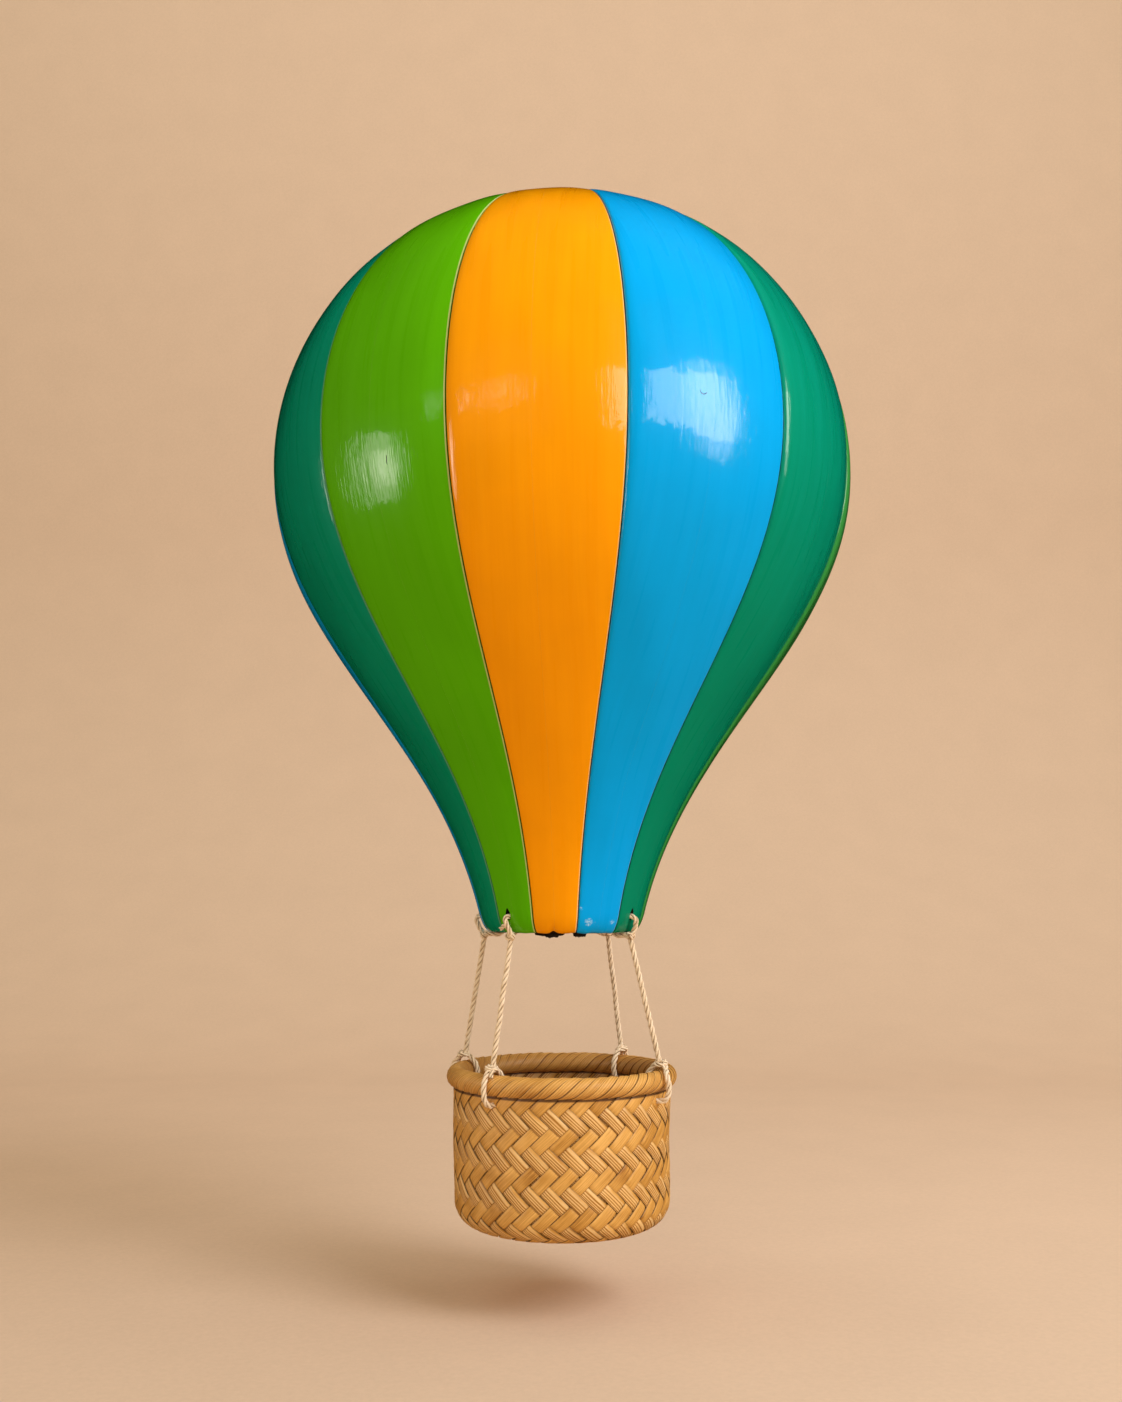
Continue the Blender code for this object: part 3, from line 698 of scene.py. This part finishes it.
# Twine: three plies laid to the right, tied in loops with their knots
twine = {
    "radius": 1.5 * mm,
    "lay": 12 * mm,  # one full turn of a ply
    "plies": 3,
    "plyRadius": 0.485,  # shares of the twine's radius
    "plyOffset": 0.52,
    "sides": 9,
    "step": 0.6 * mm,
    "knotRadius": 1.22 * mm,  # pulled thin in a knot
    "hairRadius": 0.045 * mm,
    "hairRows": 5,
    "hairSides": 3,
    "hairLength": (1.2, 3.6),  # mm
    "hairLean": (0.25, 0.8),  # outwards, against 1 along the twine
    "hairScatter": 0.25,
    "hairCurl": 0.35,
    "hairTaper": 0.75,
    "knotHalf": (3.4, 2.8, 2.2),  # mm across, outwards and up
    "wrapHalf": (2.45 * mm, 2.6 * mm),  # across and outwards
    "waver": 0.25 * mm,
}
hairs = {"loop": 700, "mouthTail": 2500, "rimTail": 3000, "stay": 900}  # to a metre of twine
mouthKnot = {"radius": 42.8 * mm, "drop": 1.7 * mm}
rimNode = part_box("basket_rim")
rimZ = (rimNode[0].z + rimNode[1].z) / 2
rollRadius = (rimNode[1].z - rimNode[0].z) / 2
rimRadius = 56.0 * mm
rimKnotRise = 8.5 * mm


def smoothPath(points, step):
    # Catmull-Rom curve through the points, then points at an even step along it
    p = np.asarray(points, float)
    p = np.concatenate([[2 * p[0] - p[1]], p, [2 * p[-1] - p[-2]]])
    a, b, c, d = (p[k:len(p) - 3 + k, None] for k in range(4))
    t = np.linspace(0, 1, 30, endpoint=False)[None, :, None]
    curve = b + 0.5 * t * (c - a + t * (2 * a - 5 * b + 4 * c - d + t * (3 * (b - c) + d - a)))
    curve = np.concatenate([curve.reshape(-1, 3), p[-2:-1]])
    run = runAlong(curve)
    even = np.linspace(0, run[-1], max(4, round(run[-1] / step)))
    return np.stack([np.interp(even, run, column) for column in curve.T], -1), even


def pathFrame(path, side):
    # unit vectors along the path, towards the given side, and across both
    along = unit(np.gradient(path, axis=0))
    towards = unit(side - (along @ side)[:, None] * along)
    return along, towards, np.cross(along, towards)


def twinePatches(points, side, radius, number, phase=0.0):
    # each ply is a round section carried along a helix about the path, a third of a turn from the next
    draw = np.random.default_rng(seed + number)
    path, run = smoothPath(points, twine["step"])
    _, towards, acrossPath = pathFrame(path, side)
    ring = 2 * np.pi * np.arange(twine["sides"] + 1) / twine["sides"]
    cosine, sine = np.cos(ring[:-1])[None, :, None], np.sin(ring[:-1])[None, :, None]
    # each ply's inner side, where it presses on the others, is marked for painted shade
    plyShade = smoothStep((1.0 - np.cos(ring[:-1])) / 1.1 - 0.35)
    patches = []
    for ply in range(twine["plies"]):
        turn = 2 * np.pi * (run / twine["lay"] + ply / twine["plies"]) + phase
        radial = np.cos(turn)[:, None] * towards + np.sin(turn)[:, None] * acrossPath
        centre = path + twine["plyOffset"] * radius * radial
        along = unit(np.gradient(centre, axis=0))
        outwards = unit(radial - np.sum(radial * along, 1, keepdims=True) * along)
        sideways = np.cross(outwards, along)
        thick = twine["plyRadius"] * radius * (1 + 0.07 * waves(seed + number + ply, run, 0, 6, 7 * mm, 1))
        circle = cosine * outwards[:, None] + sine * sideways[:, None]
        section = centre[:, None] + thick[:, None, None] * circle
        uv = stacked(run[:, None], ring * twine["plyRadius"] * radius)
        values = {"tone": draw.uniform(0, 1), "plyShade": plyShade}
        patches.append(gridPatch(section, uv, closedColumns=True, caps=True, values=values))
    return patches


def hairPatches(points, side, radius, number, everyMetre):
    # loose fibres: thin three-sided tapers that leave the twine along its lay and curl away
    draw = np.random.default_rng(seed + number + 500)
    path, run = smoothPath(points, twine["step"])
    along, towards, acrossPath = pathFrame(path, side)
    rows = np.linspace(0, 1, twine["hairRows"])[:, None]
    ring = 2 * np.pi * np.arange(twine["hairSides"]) / twine["hairSides"]
    patches = []
    for _ in range(round(run[-1] * everyMetre)):
        k = draw.integers(1, len(path) - 1)
        turn = draw.uniform(0, 2 * np.pi)
        radial = math.cos(turn) * towards[k] + math.sin(turn) * acrossPath[k]
        lean = radial * draw.uniform(*twine["hairLean"]) + along[k] * draw.choice([-1, 1])
        lean = unit(lean + draw.normal(0, twine["hairScatter"], 3))
        curl = draw.normal(0, twine["hairCurl"], 3) - 0.2 * radial
        length = draw.uniform(*twine["hairLength"]) * mm
        line = path[k] + radius * 0.8 * radial + length * (rows * lean + rows ** 2 * curl)
        one = unit(np.cross(lean, [0.3, 0.5, 0.8]))
        circle = np.cos(ring)[:, None] * one + np.sin(ring)[:, None] * np.cross(one, lean)
        thick = twine["hairRadius"] * (1 - twine["hairTaper"] * rows)[:, :, None]
        values = {"tone": draw.uniform(0.5, 1), "plyShade": 0}
        patches.append(gridPatch(line[:, None] + thick * circle[None], closedColumns=True, caps=True,
                                 values=values))
    return patches


def juteMaterial():
    # Natural jute: pale, dry, matt plies of fine fibres that run slightly across each ply
    material, tree, place, surface = startMaterial("natural_jute_twine")
    turned = addNode(tree, "Mapping", {"Vector": surface, "Rotation": (0, 0, math.radians(14)),
                                       "Scale": (1 / (5 * mm), 1 / (0.28 * mm), 1)})
    fibres = addNode(tree, "TexNoise", {"Vector": turned, "Scale": 1.0, "Detail": 4.0, "Roughness": 0.6})
    blotches = addNode(tree, "TexNoise", {"Vector": place, "Scale": 1 / (5 * mm), "Detail": 2.0})
    ply = addNode(tree, "Attribute", output="Fac", attribute_name="tone")
    plyShade = addNode(tree, "Attribute", output="Fac", attribute_name="plyShade")
    # the plies are painted darker on their inner sides: painted shade in the grooves between them
    tone = fibres
    for part, weight in ((ply, 0.14), (plyShade, -0.40), (blotches, 0.35)):
        tone = addNode(tree, "Math", {0: part, 1: weight, 2: tone}, operation="MULTIPLY_ADD")
    return finishMaterial(material, {
        "Base Color": addNode(tree, "ValToRGB", {"Fac": tone},
                              stops=[(0.34, "#8A6743"), (0.94, "#FBE7CA"), (0.62, "#E9CCA5")]),
        "Normal": addNode(tree, "Bump", {"Height": fibres, "Distance": 0.12 * mm}),
        "Roughness": 0.9,
        "Specular IOR Level": 0.25,
        "Sheen Weight": 0.25,
        "Sheen Roughness": 0.5,
    })


jute = juteMaterial()


def pathAt(azimuth, points, level):
    # points are (radius, height above the level, sideways) in mm
    return [besidePoint(azimuth, r * mm, level + z * mm, s * mm) for r, z, s in points]


def overhandKnot(centre, azimuth, number):
    # a trefoil path, (sin t + 2 sin 2t, cos t - 2 cos 2t, -sin 3t), pulled tight
    t = np.linspace(0, 2 * np.pi, 26)[:, None]
    across, out, rise = np.array(twine["knotHalf"]) * mm - twine["knotRadius"]
    points = centre + (np.sin(t) + 2 * np.sin(2 * t)) / 3 * across * ringPoint(1.0, azimuth + 90, 0)
    points = points - np.sin(3 * t) * rise * upward
    points = points + (np.cos(t) - 2 * np.cos(2 * t)) / 3 * out * ringPoint(1.0, azimuth, 0)
    return twinePatches(points, upward, twine["knotRadius"], number)


mouthTails = {
    # (radius, height above the mouth edge, sideways), mm
    "front_left": [(46.0, 4.2, 0.8), (46.2, 3.9, -0.8), (45.8, 3.4, -2.4), (45.3, 2.6, -4.0),
                   (44.9, 2.2, -4.9)],
    "front_right": [(43.4, -1.2, -0.8), (44.0, -1.2, -2.2), (44.4, -1.2, -3.6), (44.6, -1.4, -4.8)],
    "back_right": [(42.8, -1.7, 0.5), (43.6, -1.7, 2.2), (44.0, -2.3, 3.6), (44.2, -3.2, 4.6)],
    "back_left": [(42.8, -1.7, -0.5), (43.6, -1.7, -2.2), (44.2, -2.1, -3.5), (44.4, -2.8, -4.4)],
}
rimTail = [(57.8, 8.3, 1.6), (59.3, 7.4, 2.4), (60.6, 6.0, 3.0), (61.4, 4.6, 3.4)]


def makeTwine():
    for number, (name, (top, foot)) in enumerate(stays.items()):
        first = 20 * number
        inSlit, sway, slant, knot, loop, hole = sways[name]
        turned = 1 if name in ("front_left", "back_right") else -1  # the side the tail lies on
        topAcross = ringPoint(1.0, top + 90, 0)
        footAcross = ringPoint(1.0, foot + 90, 0)
        topKnot = besidePoint(top, mouthKnot["radius"], mouthZ - mouthKnot["drop"], 0.3 * sway * mm)
        footKnot = besidePoint(foot, rimRadius, rimZ + rimKnotRise, knot * mm)

        # from the knot, close under the lip, up inside, out of the slit and down over the lip
        lipPath = pathAt(top, [
            (42.6, -1.0, 0.3 * sway), (40.4, -1.3, 0.4 * slant), (37.5, -1.5, 0.7 * slant),
            (34.6, -1.5, slant), (32.8, -0.2, slant), (32.2, 3.0, 0.7 * slant),
            (32.4, 6.4, 0.2 * slant + 0.8 * inSlit),
            (34.6, 8.3, inSlit), (39.5, 8.5, inSlit), (44.2, 8.5, inSlit), (46.5, 7.8, inSlit),
            (47.1, 5.9, 0.7 * inSlit + 0.3 * sway), (46.3, 3.6, 0.3 * inSlit + 0.7 * sway), (45.2, 1.4, sway),
            (44.2, -0.3, 1.1 * sway), (43.2, -1.6, 0.7 * sway)], mouthZ)
        tail = pathAt(top, mouthTails[name], mouthZ)
        patches = twinePatches(lipPath, topAcross, twine["radius"] * 0.95, first)
        patches += overhandKnot(topKnot, top, first + 3)
        patches += twinePatches(tail, upward, twine["knotRadius"], first + 6)
        patches += hairPatches(lipPath, topAcross, twine["radius"], first, hairs["loop"])
        patches += hairPatches(tail, upward, twine["knotRadius"] * 0.6, first + 6, hairs["mouthTail"])
        makePiece(f"tied_mouth_loop_{name}", patches, [jute], "envelope", [f"mouth_loop_{name}"])

        # from beside the stay, inside the roll, out through the wall and up over it into the wrapped knot
        rimPath = pathAt(foot, [
            (55.6, 10.6, knot), (54.0, 8.4, 0.8 * knot), (51.0, 5.4, 0.4 * knot), (48.9, 1.4, 0.2 * hole),
            (49.2, -4.4, 0.6 * hole), (52.4, -8.2, 0.9 * hole), (57.0, -9.2, hole),
            (60.8, -8.9, 0.7 * hole + 0.3 * loop), (63.2, -6.0, 0.2 * hole + 0.8 * loop), (63.6, -0.8, loop),
            (62.6, 3.4, loop), (60.3, 6.2, 0.3 * loop + 0.7 * knot), (58.6, 8.2, knot),
            (57.9, 10.4, knot)], rimZ)
        turn = np.linspace(-0.35 * np.pi, 2.3 * np.pi, 20) * turned
        footOut = ringPoint(1.0, foot, 0)
        wrapAcross, wrapOut = twine["wrapHalf"]
        wrap = footKnot + 0.7 * mm * footOut + (wrapAcross * np.sin(turn))[:, None] * footAcross
        wrap = wrap + (wrapOut * np.cos(turn))[:, None] * footOut
        wrap = wrap + ((abs(turn) / np.pi - 1.2) * 0.5 * mm)[:, None] * upward
        end = pathAt(foot, [(r, z, s * turned + knot) for r, z, s in rimTail], rimZ)
        patches = twinePatches(rimPath, footAcross, twine["radius"] * 0.98, first + 9)
        patches += twinePatches(wrap, upward, twine["knotRadius"], first + 12)
        patches += twinePatches(end, upward, twine["knotRadius"] * 0.9, first + 15)
        patches += hairPatches(rimPath, footAcross, twine["radius"], first + 9, hairs["loop"])
        patches += hairPatches(end, upward, twine["knotRadius"] * 0.6, first + 15, hairs["rimTail"])
        makePiece(f"tied_rim_loop_{name}", patches, [jute], "basket", [f"rim_loop_{name}"])

        # the stay between the knots, with the slight waver of a hand-pulled cord
        share = np.linspace(0, 1, 9)[:, None]
        start, stop = topKnot - 1.6 * mm * upward, footKnot + 0.4 * mm * upward
        waver = twine["waver"] * np.sin(np.pi * share) * waves(seed + first, share * 70, 0, 4, 34, 1)
        line = start + (stop - start) * share + waver * topAcross
        patches = twinePatches(line, topAcross, twine["radius"], first + 18, phase=number * 1.3)
        patches += hairPatches(line, topAcross, twine["radius"], first + 18, hairs["stay"])
        makePiece(f"twine_stay_{name}", patches, [jute], f"{name}_stay", [f"stay_{name}"])


makeTwine()
print("the twine is laid and tied")

# Basket: palm strips plaited over two, under two, and a wrapped roll on the edge
basket = {
    "strips": 36,  # on each slant
    "firstAzimuth": -1.2,
    "cells": 4.5,  # half side of the plaited square that the bottom is drawn in from
    "footRadius": 57.2 * mm,
    "topRadius": 58.2 * mm,
    "corner": 13.5 * mm,
    "rowPitch": 9.327 * mm,
    "inset": 1.25 * mm,  # middle of the plait inside the outer surface
    "wave": 0.5 * mm,  # how far a strip rises over and dips under
    "tilt": 0.1 * mm,
    "halfThickness": 0.36 * mm,
    "halfWidth": 0.475,  # share of a strip's pitch, like the next two
    "wander": 0.03,
    "misplacing": 0.018,
    "widthSpread": 0.025,  # share of the width, like the next
    "widthWander": 0.04,
    "stripStep": 0.736,  # row pitches that a strip runs on from one crossing to the next
    "unevenness": 0.35 * mm,
    "meetingDrop": 6.2 * mm,  # below the roll's middle, from where the wall is painted dark as shade under the roll
    "holeDrop": 8.8 * mm,
    "holeSpread": 1.5 * mm,
    "holeFade": 6 * mm,
    "rollStrips": 56,
    "rollRows": 36,
    "rollAdvance": 5,  # strips that one wrap moves on
    "rollStart": -2.0,  # radians; the wraps' numbering starts under the roll, where the wall meets it
    "lap": 0.5 * mm,
    "rollUnevenness": 0.16 * mm,
}
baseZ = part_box("basket_body")[0].z
flatRadius = basket["footRadius"] - basket["corner"]
cornerLength = basket["corner"] * np.pi / 2
wallHeight = rimZ - rollRadius - baseZ - basket["corner"]


def plaitPoint(side, row, along, height):
    # side: the side's azimuth; row: rows out from the bottom's edge, less than 0 on the bottom;
    # along: strips from the side's middle. The square bottom is drawn in to a disc, then comes
    # a quarter-round corner and the wall. height is measured out of the surface.
    b = basket
    rowsOut = row + b["cells"]
    azimuth = side + np.where(row < 0, 45 * along / np.maximum(rowsOut, 0.001), 360 / b["strips"] * along)
    run = np.maximum(row, 0) * b["rowPitch"]
    bend = np.clip(run / b["corner"], 0, np.pi / 2)
    up = np.maximum(run - cornerLength, 0)
    slope = (b["topRadius"] - b["footRadius"]) / wallHeight
    radius = np.where(row < 0, flatRadius * rowsOut / b["cells"],
                      flatRadius + b["corner"] * np.sin(bend) + slope * up)
    z = baseZ + b["corner"] * (1 - np.cos(bend)) + up
    around = np.radians(azimuth)
    uneven = waves(seed + 40, np.sin(around), np.cos(around) + z / (60 * mm), 9, 1, 1)
    height = height + b["unevenness"] * uneven * smoothStep(row / 3)
    for name, (_, foot) in stays.items():  # the awl spreads the strips where a loop goes through
        sideways = ((azimuth - foot + 180) % 360 - 180) * np.pi / 180 * b["topRadius"] - sways[name][5] * mm
        upwards = z - (rimZ - b["holeDrop"])
        away = np.hypot(sideways, upwards) + 0.01 * mm
        spread = (np.sqrt(away ** 2 + b["holeSpread"] ** 2) - away) / away
        spread = spread * np.exp(-(away / b["holeFade"]) ** 2)
        azimuth = azimuth + np.degrees(sideways * spread / b["topRadius"])
        z = z + upwards * spread
    return ringPoint(radius + height * np.sin(bend), azimuth, z - height * np.cos(bend))


def stripPatch(quarter, line, number):
    # A strip lies on the line where rows out + strips along = line. It climbs one side of the square leaning
    # left (position above 0) and the next side leaning right (below 0), and crosses others at half positions.
    b = basket
    draw = np.random.default_rng(seed + 700 + number)
    topRow = (cornerLength + rimZ - 2 * mm - baseZ - b["corner"]) / b["rowPitch"]
    reach = 2 * (topRow + b["cells"]) - line
    whole = np.arange(-math.ceil(reach), math.ceil(reach) + 1)
    # a row of points at each crossing, and four between two, where the strip goes from over to under
    position = (whole[:, None] + np.array([-0.24, -0.09, 0.09, 0.24, 0.5])).ravel()
    position = np.unique(np.clip(position, -reach, reach))
    nearest = np.floor(position + 0.5)

    def over(crossing):
        twiceRow = np.round(line + abs(crossing) - 2 * b["cells"]).astype(int) % 4
        return np.where((twiceRow >= 2) == (crossing > 0), 1.0, -1.0)

    def wavering(firstSeed, count, length):
        return waves(seed + firstSeed + number, position, 0, count, length, 1)

    before, after = over(nearest - 0.5), over(nearest + 0.5)
    rise = (before + (after - before) * smoothStep((position - nearest + 0.27) / 0.54))[:, None]
    # the section, as shares of the half width and of the half thickness
    upper = [(-1, 0), (-0.93, 0.7), (-0.5, 0.96), (0, 1), (0.5, 0.96), (0.93, 0.7), (1, 0)]
    lower = [(0.93, -0.7), (0, -1), (-0.93, -0.7)]
    sideways, thick = np.array(upper + lower).T
    wander = b["wander"] * wavering(300, 5, 7) + draw.normal(0, b["misplacing"])
    width = b["halfWidth"] * (1 + draw.normal(0, b["widthSpread"]) + b["widthWander"] * wavering(400, 5, 6))
    offset = wander[:, None] + width[:, None] * sideways
    height = -b["inset"] + b["wave"] * rise + b["halfThickness"] * thick
    height = height + b["tilt"] * (wavering(500, 6, 3)[:, None] * sideways)
    place = position[:, None]
    lineHere = line + offset
    out = (lineHere + abs(place)) / 2
    along = (lineHere - abs(place)) / 2 * np.where(place < 0, -1, 1)
    side = b["firstAzimuth"] + 90 * (quarter + (place < 0))
    points = plaitPoint(side, out - b["cells"], along, height)
    length = place * b["rowPitch"] * b["stripStep"]
    uv = stacked(length + 0.5 * number, np.append(sideways, sideways[0]) * 3.2 * mm)
    # where a strip dips under another it is marked for painted shade
    values = {
        "tone": (draw.uniform(0, 1) + 0.35 * wavering(600, 5, 4))[:, None],
        "edge": (abs(sideways) * np.where(thick < 0, 1, 0.9))[::-1],
        "ribbed": smoothStep(place / 2 + 0.5),
        "sunkShade": (1 - rise) / 2,
    }
    # the section runs across from the - to the + side, so that the faces look out of the plait
    return gridPatch(points[:, ::-1], uv[:, ::-1], closedColumns=True, caps=True, values=values)


def rollPatch():
    # the roll's section radius grows by the lap at each strip's leading edge and falls away behind it;
    # the columns follow the strips, which move on as they go round the roll
    strips, advance, lap = basket["rollStrips"], basket["rollAdvance"], basket["lap"]
    # over one strip: where its columns are, how high the lap is there and how near the strip's edge
    within = np.array([0.0, 0.035, 0.1, 0.25, 0.45, 0.65, 0.85, 0.96])
    lapShape = np.array([0.0, 0.8, 1.0, 0.93, 0.78, 0.58, 0.34, 0.14])
    edgeShape = np.array([1, 0.85, 0.3, 0.1, 0, 0.1, 0.45, 0.9])
    across = (np.arange(strips)[:, None] + within).ravel()
    share = np.arange(basket["rollRows"] + 1)[:, None] / basket["rollRows"]
    turn = basket["rollStart"] + 2 * np.pi * share
    draw = np.random.default_rng(seed + 900)
    shift = draw.normal(0, 0.05, strips)
    tone = draw.uniform(0, 1, strips)
    # a whole wrap joins strip n to strip n + advance, so tone and shift fade between them along the wrap
    number = np.floor(across).astype(int)
    onward = (number + advance) % strips
    toneHere = tone[onward] * share + tone[number] * (1 - share)
    shiftHere = shift[onward] * share + shift[number] * (1 - share)
    spin = (across + shiftHere + advance * share) / strips * 360
    away = np.radians(spin)
    uneven = waves(seed + 901, np.sin(away), np.cos(away) + 0.15 * np.sin(turn), 7, 0.6, 0.6)
    radius = rollRadius - lap + lap * np.tile(lapShape, strips) + basket["rollUnevenness"] * uneven
    points = ringPoint(rimRadius + radius * np.cos(turn), spin, rimZ + radius * np.sin(turn))
    length = (turn - basket["rollStart"]) * rollRadius * 1.55
    uv = stacked(length + 0.3 * np.append(number, 0), np.append(np.tile(within, strips), 0) * 4.4 * mm)
    # the roll's inner side, towards the basket's middle, is marked for painted shade
    inside = smoothStep(0.35 - 0.9 * np.cos(turn))
    values = {"tone": toneHere[-2::-1], "edge": np.tile(edgeShape, strips), "ribbed": 0.3,
              "sunkShade": inside[-2::-1]}
    # the rows run backwards, so that the faces look outwards
    return gridPatch(points[-2::-1], uv[::-1], closedRows=True, closedColumns=True, values=values,
                     shift=-advance * len(within))


def palmMaterial(name, shadeFrom, edgeDirtAndShade):
    # Sun-dried palm strip: satin, golden tan, with long fibres; one face is ribbed, the other smooth. On the
    # ribs the ridges get a painted highlight and the furrows painted shade; the cut edges are darker and
    # redder, from dirt and painted shade between the strips; strips sunk under others and the roll's inner
    # side get painted shade; and above a height, under the roll, the wall is painted dark as shade
    material, tree, place, surface = startMaterial(name)
    tone, edge, ribbed, sunkShade = (addNode(tree, "Attribute", output="Fac", attribute_name=key)
                                 for key in ("tone", "edge", "ribbed", "sunkShade"))
    fibres = addNode(tree, "Mapping", {"Vector": surface, "Scale": (1 / (16 * mm), 1 / (0.42 * mm), 1)})
    fine = addNode(tree, "TexNoise", {"Vector": fibres, "Scale": 1.0, "Detail": 2.0})
    # at this scale of the wave one rib is 1.15 mm wide
    ribbing = addNode(tree, "Mapping", {"Vector": surface, "Scale": (1 / (14 * mm), 1 / (1.15 * mm), 1)})
    ribs = addNode(tree, "TexWave", {"Vector": ribbing, "Scale": 0.314, "Distortion": 2.6, "Detail": 2.0,
                                     "Detail Scale": 2.2}, "Fac", bands_direction="Y")
    blotches = addNode(tree, "TexNoise", {"Vector": place, "Scale": 1 / (14 * mm), "Detail": 3.0})
    body = -0.03
    for part, weight in ((tone, 0.16), (blotches, 0.42), (fine, 0.72)):
        body = addNode(tree, "Math", {0: part, 1: weight, 2: body}, operation="MULTIPLY_ADD")
    colour = addNode(tree, "ValToRGB", {"Fac": body},
                     stops=[(0.34, "#A0641A"), (0.84, "#EDB35E"), (0.58, "#D09440")])
    height = addNode(tree, "SeparateXYZ", {"Vector": place}, "Z")
    tints = [
        # what it follows, where it starts and is full, how strong, its share on the face, and its colour
        (ribs, 0.45, 0.95, 0.62, ribbed, "#F6CE90"),  # ridges, with a painted highlight
        (ribs, 0.35, 0.05, 0.8, ribbed, "#9C5C16"),  # furrows, with painted shade
        (edge, 0.80, 0.92, edgeDirtAndShade, 1, "#43210A"),  # cut edges: dirt, and painted shade in the gaps between strips
        (sunkShade, 0.35, 1.0, 0.45, 1, "#80460F"),  # painted shade where a strip is sunk under another, and on the roll's inner side
        (height, shadeFrom - 0.3 * mm, shadeFrom + 0.3 * mm, 0.85, 1, "#43210A"),  # painted shade on the wall under the roll
    ]
    for value, start, full, strength, face, tint in tints:
        grown = addNode(tree, "MapRange", {"Value": value, "From Min": start, "From Max": full,
                                           "To Max": strength})
        share = addNode(tree, "Math", {0: grown, 1: face}, operation="MULTIPLY")
        colour = addNode(tree, "Mix", {0: share, 6: colour, 7: tint}, 2, data_type="RGBA")
    raised = addNode(tree, "Math", {0: ribs, 1: ribbed}, operation="MULTIPLY")
    relief = addNode(tree, "Math", {0: raised, 1: 0.5, 2: fine}, operation="MULTIPLY_ADD")
    return finishMaterial(material, {
        "Base Color": colour,
        "Normal": addNode(tree, "Bump", {"Height": relief, "Distance": 0.16 * mm}),
        "Roughness": addNode(tree, "MapRange", {"Value": fine, "From Min": 0.3, "From Max": 0.7,
                                                "To Min": 0.42, "To Max": 0.6}),
        "Specular IOR Level": 0.4,
    })


def makeBasket():
    plaited = palmMaterial("plaited_dried_palm", rimZ - basket["meetingDrop"], 0.95)
    wrapped = palmMaterial("wrapped_dried_palm", 0, 0.62)
    lines = np.arange(0.5, 2 * basket["cells"])
    strips = [stripPatch(quarter, line, quarter * len(lines) + k) for quarter in range(4)
              for k, line in enumerate(lines)]
    makePiece("plaited_basket", strips, [plaited], "basket", ["basket_body"], sharpAngle=75)
    makePiece("wrapped_basket_rim", [rollPatch()], [wrapped], "basket", ["basket_rim"],
              sharpAngle=50)


makeBasket()
print("the basket is plaited and its edge wrapped")


def turnedWoodMaterial():
    # Plain turned softwood with a thin oil: yearly rings across the plug, fine pores, satin
    material, tree, place, _ = startMaterial("oiled_turned_softwood")
    grain = addNode(tree, "TexWave", {"Vector": place, "Scale": 1 / (9 * mm), "Distortion": 3.0,
                                      "Detail": 3.0}, "Fac")
    pores = addNode(tree, "TexNoise", {"Vector": place, "Scale": 1 / (0.7 * mm), "Detail": 3.0})
    return finishMaterial(material, {
        "Base Color": addNode(tree, "ValToRGB", {"Fac": grain}, stops=[(0.0, "#B98850"), (1.0, "#8C5E30")]),
        "Normal": addNode(tree, "Bump", {"Height": pores, "Distance": 0.06 * mm}),
        "Roughness": 0.5,
    })


def steelWireMaterial():
    # Bright drawn steel wire with faint dull patches
    material, tree, place, _ = startMaterial("drawn_steel_wire")
    dulling = addNode(tree, "TexNoise", {"Vector": place, "Scale": 1 / (1.5 * mm), "Detail": 4.0})
    return finishMaterial(material, {
        "Base Color": "#C9C6BF",
        "Metallic": 1.0,
        "Roughness": addNode(tree, "MapRange", {"Value": dulling, "To Min": 0.18, "To Max": 0.42}),
    })


for node, material in (("crown_plug", turnedWoodMaterial()), ("hanging_eye", steelWireMaterial())):
    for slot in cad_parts[node].material_slots:
        slot.material = material
print("the plug and the eye have their wood and steel")
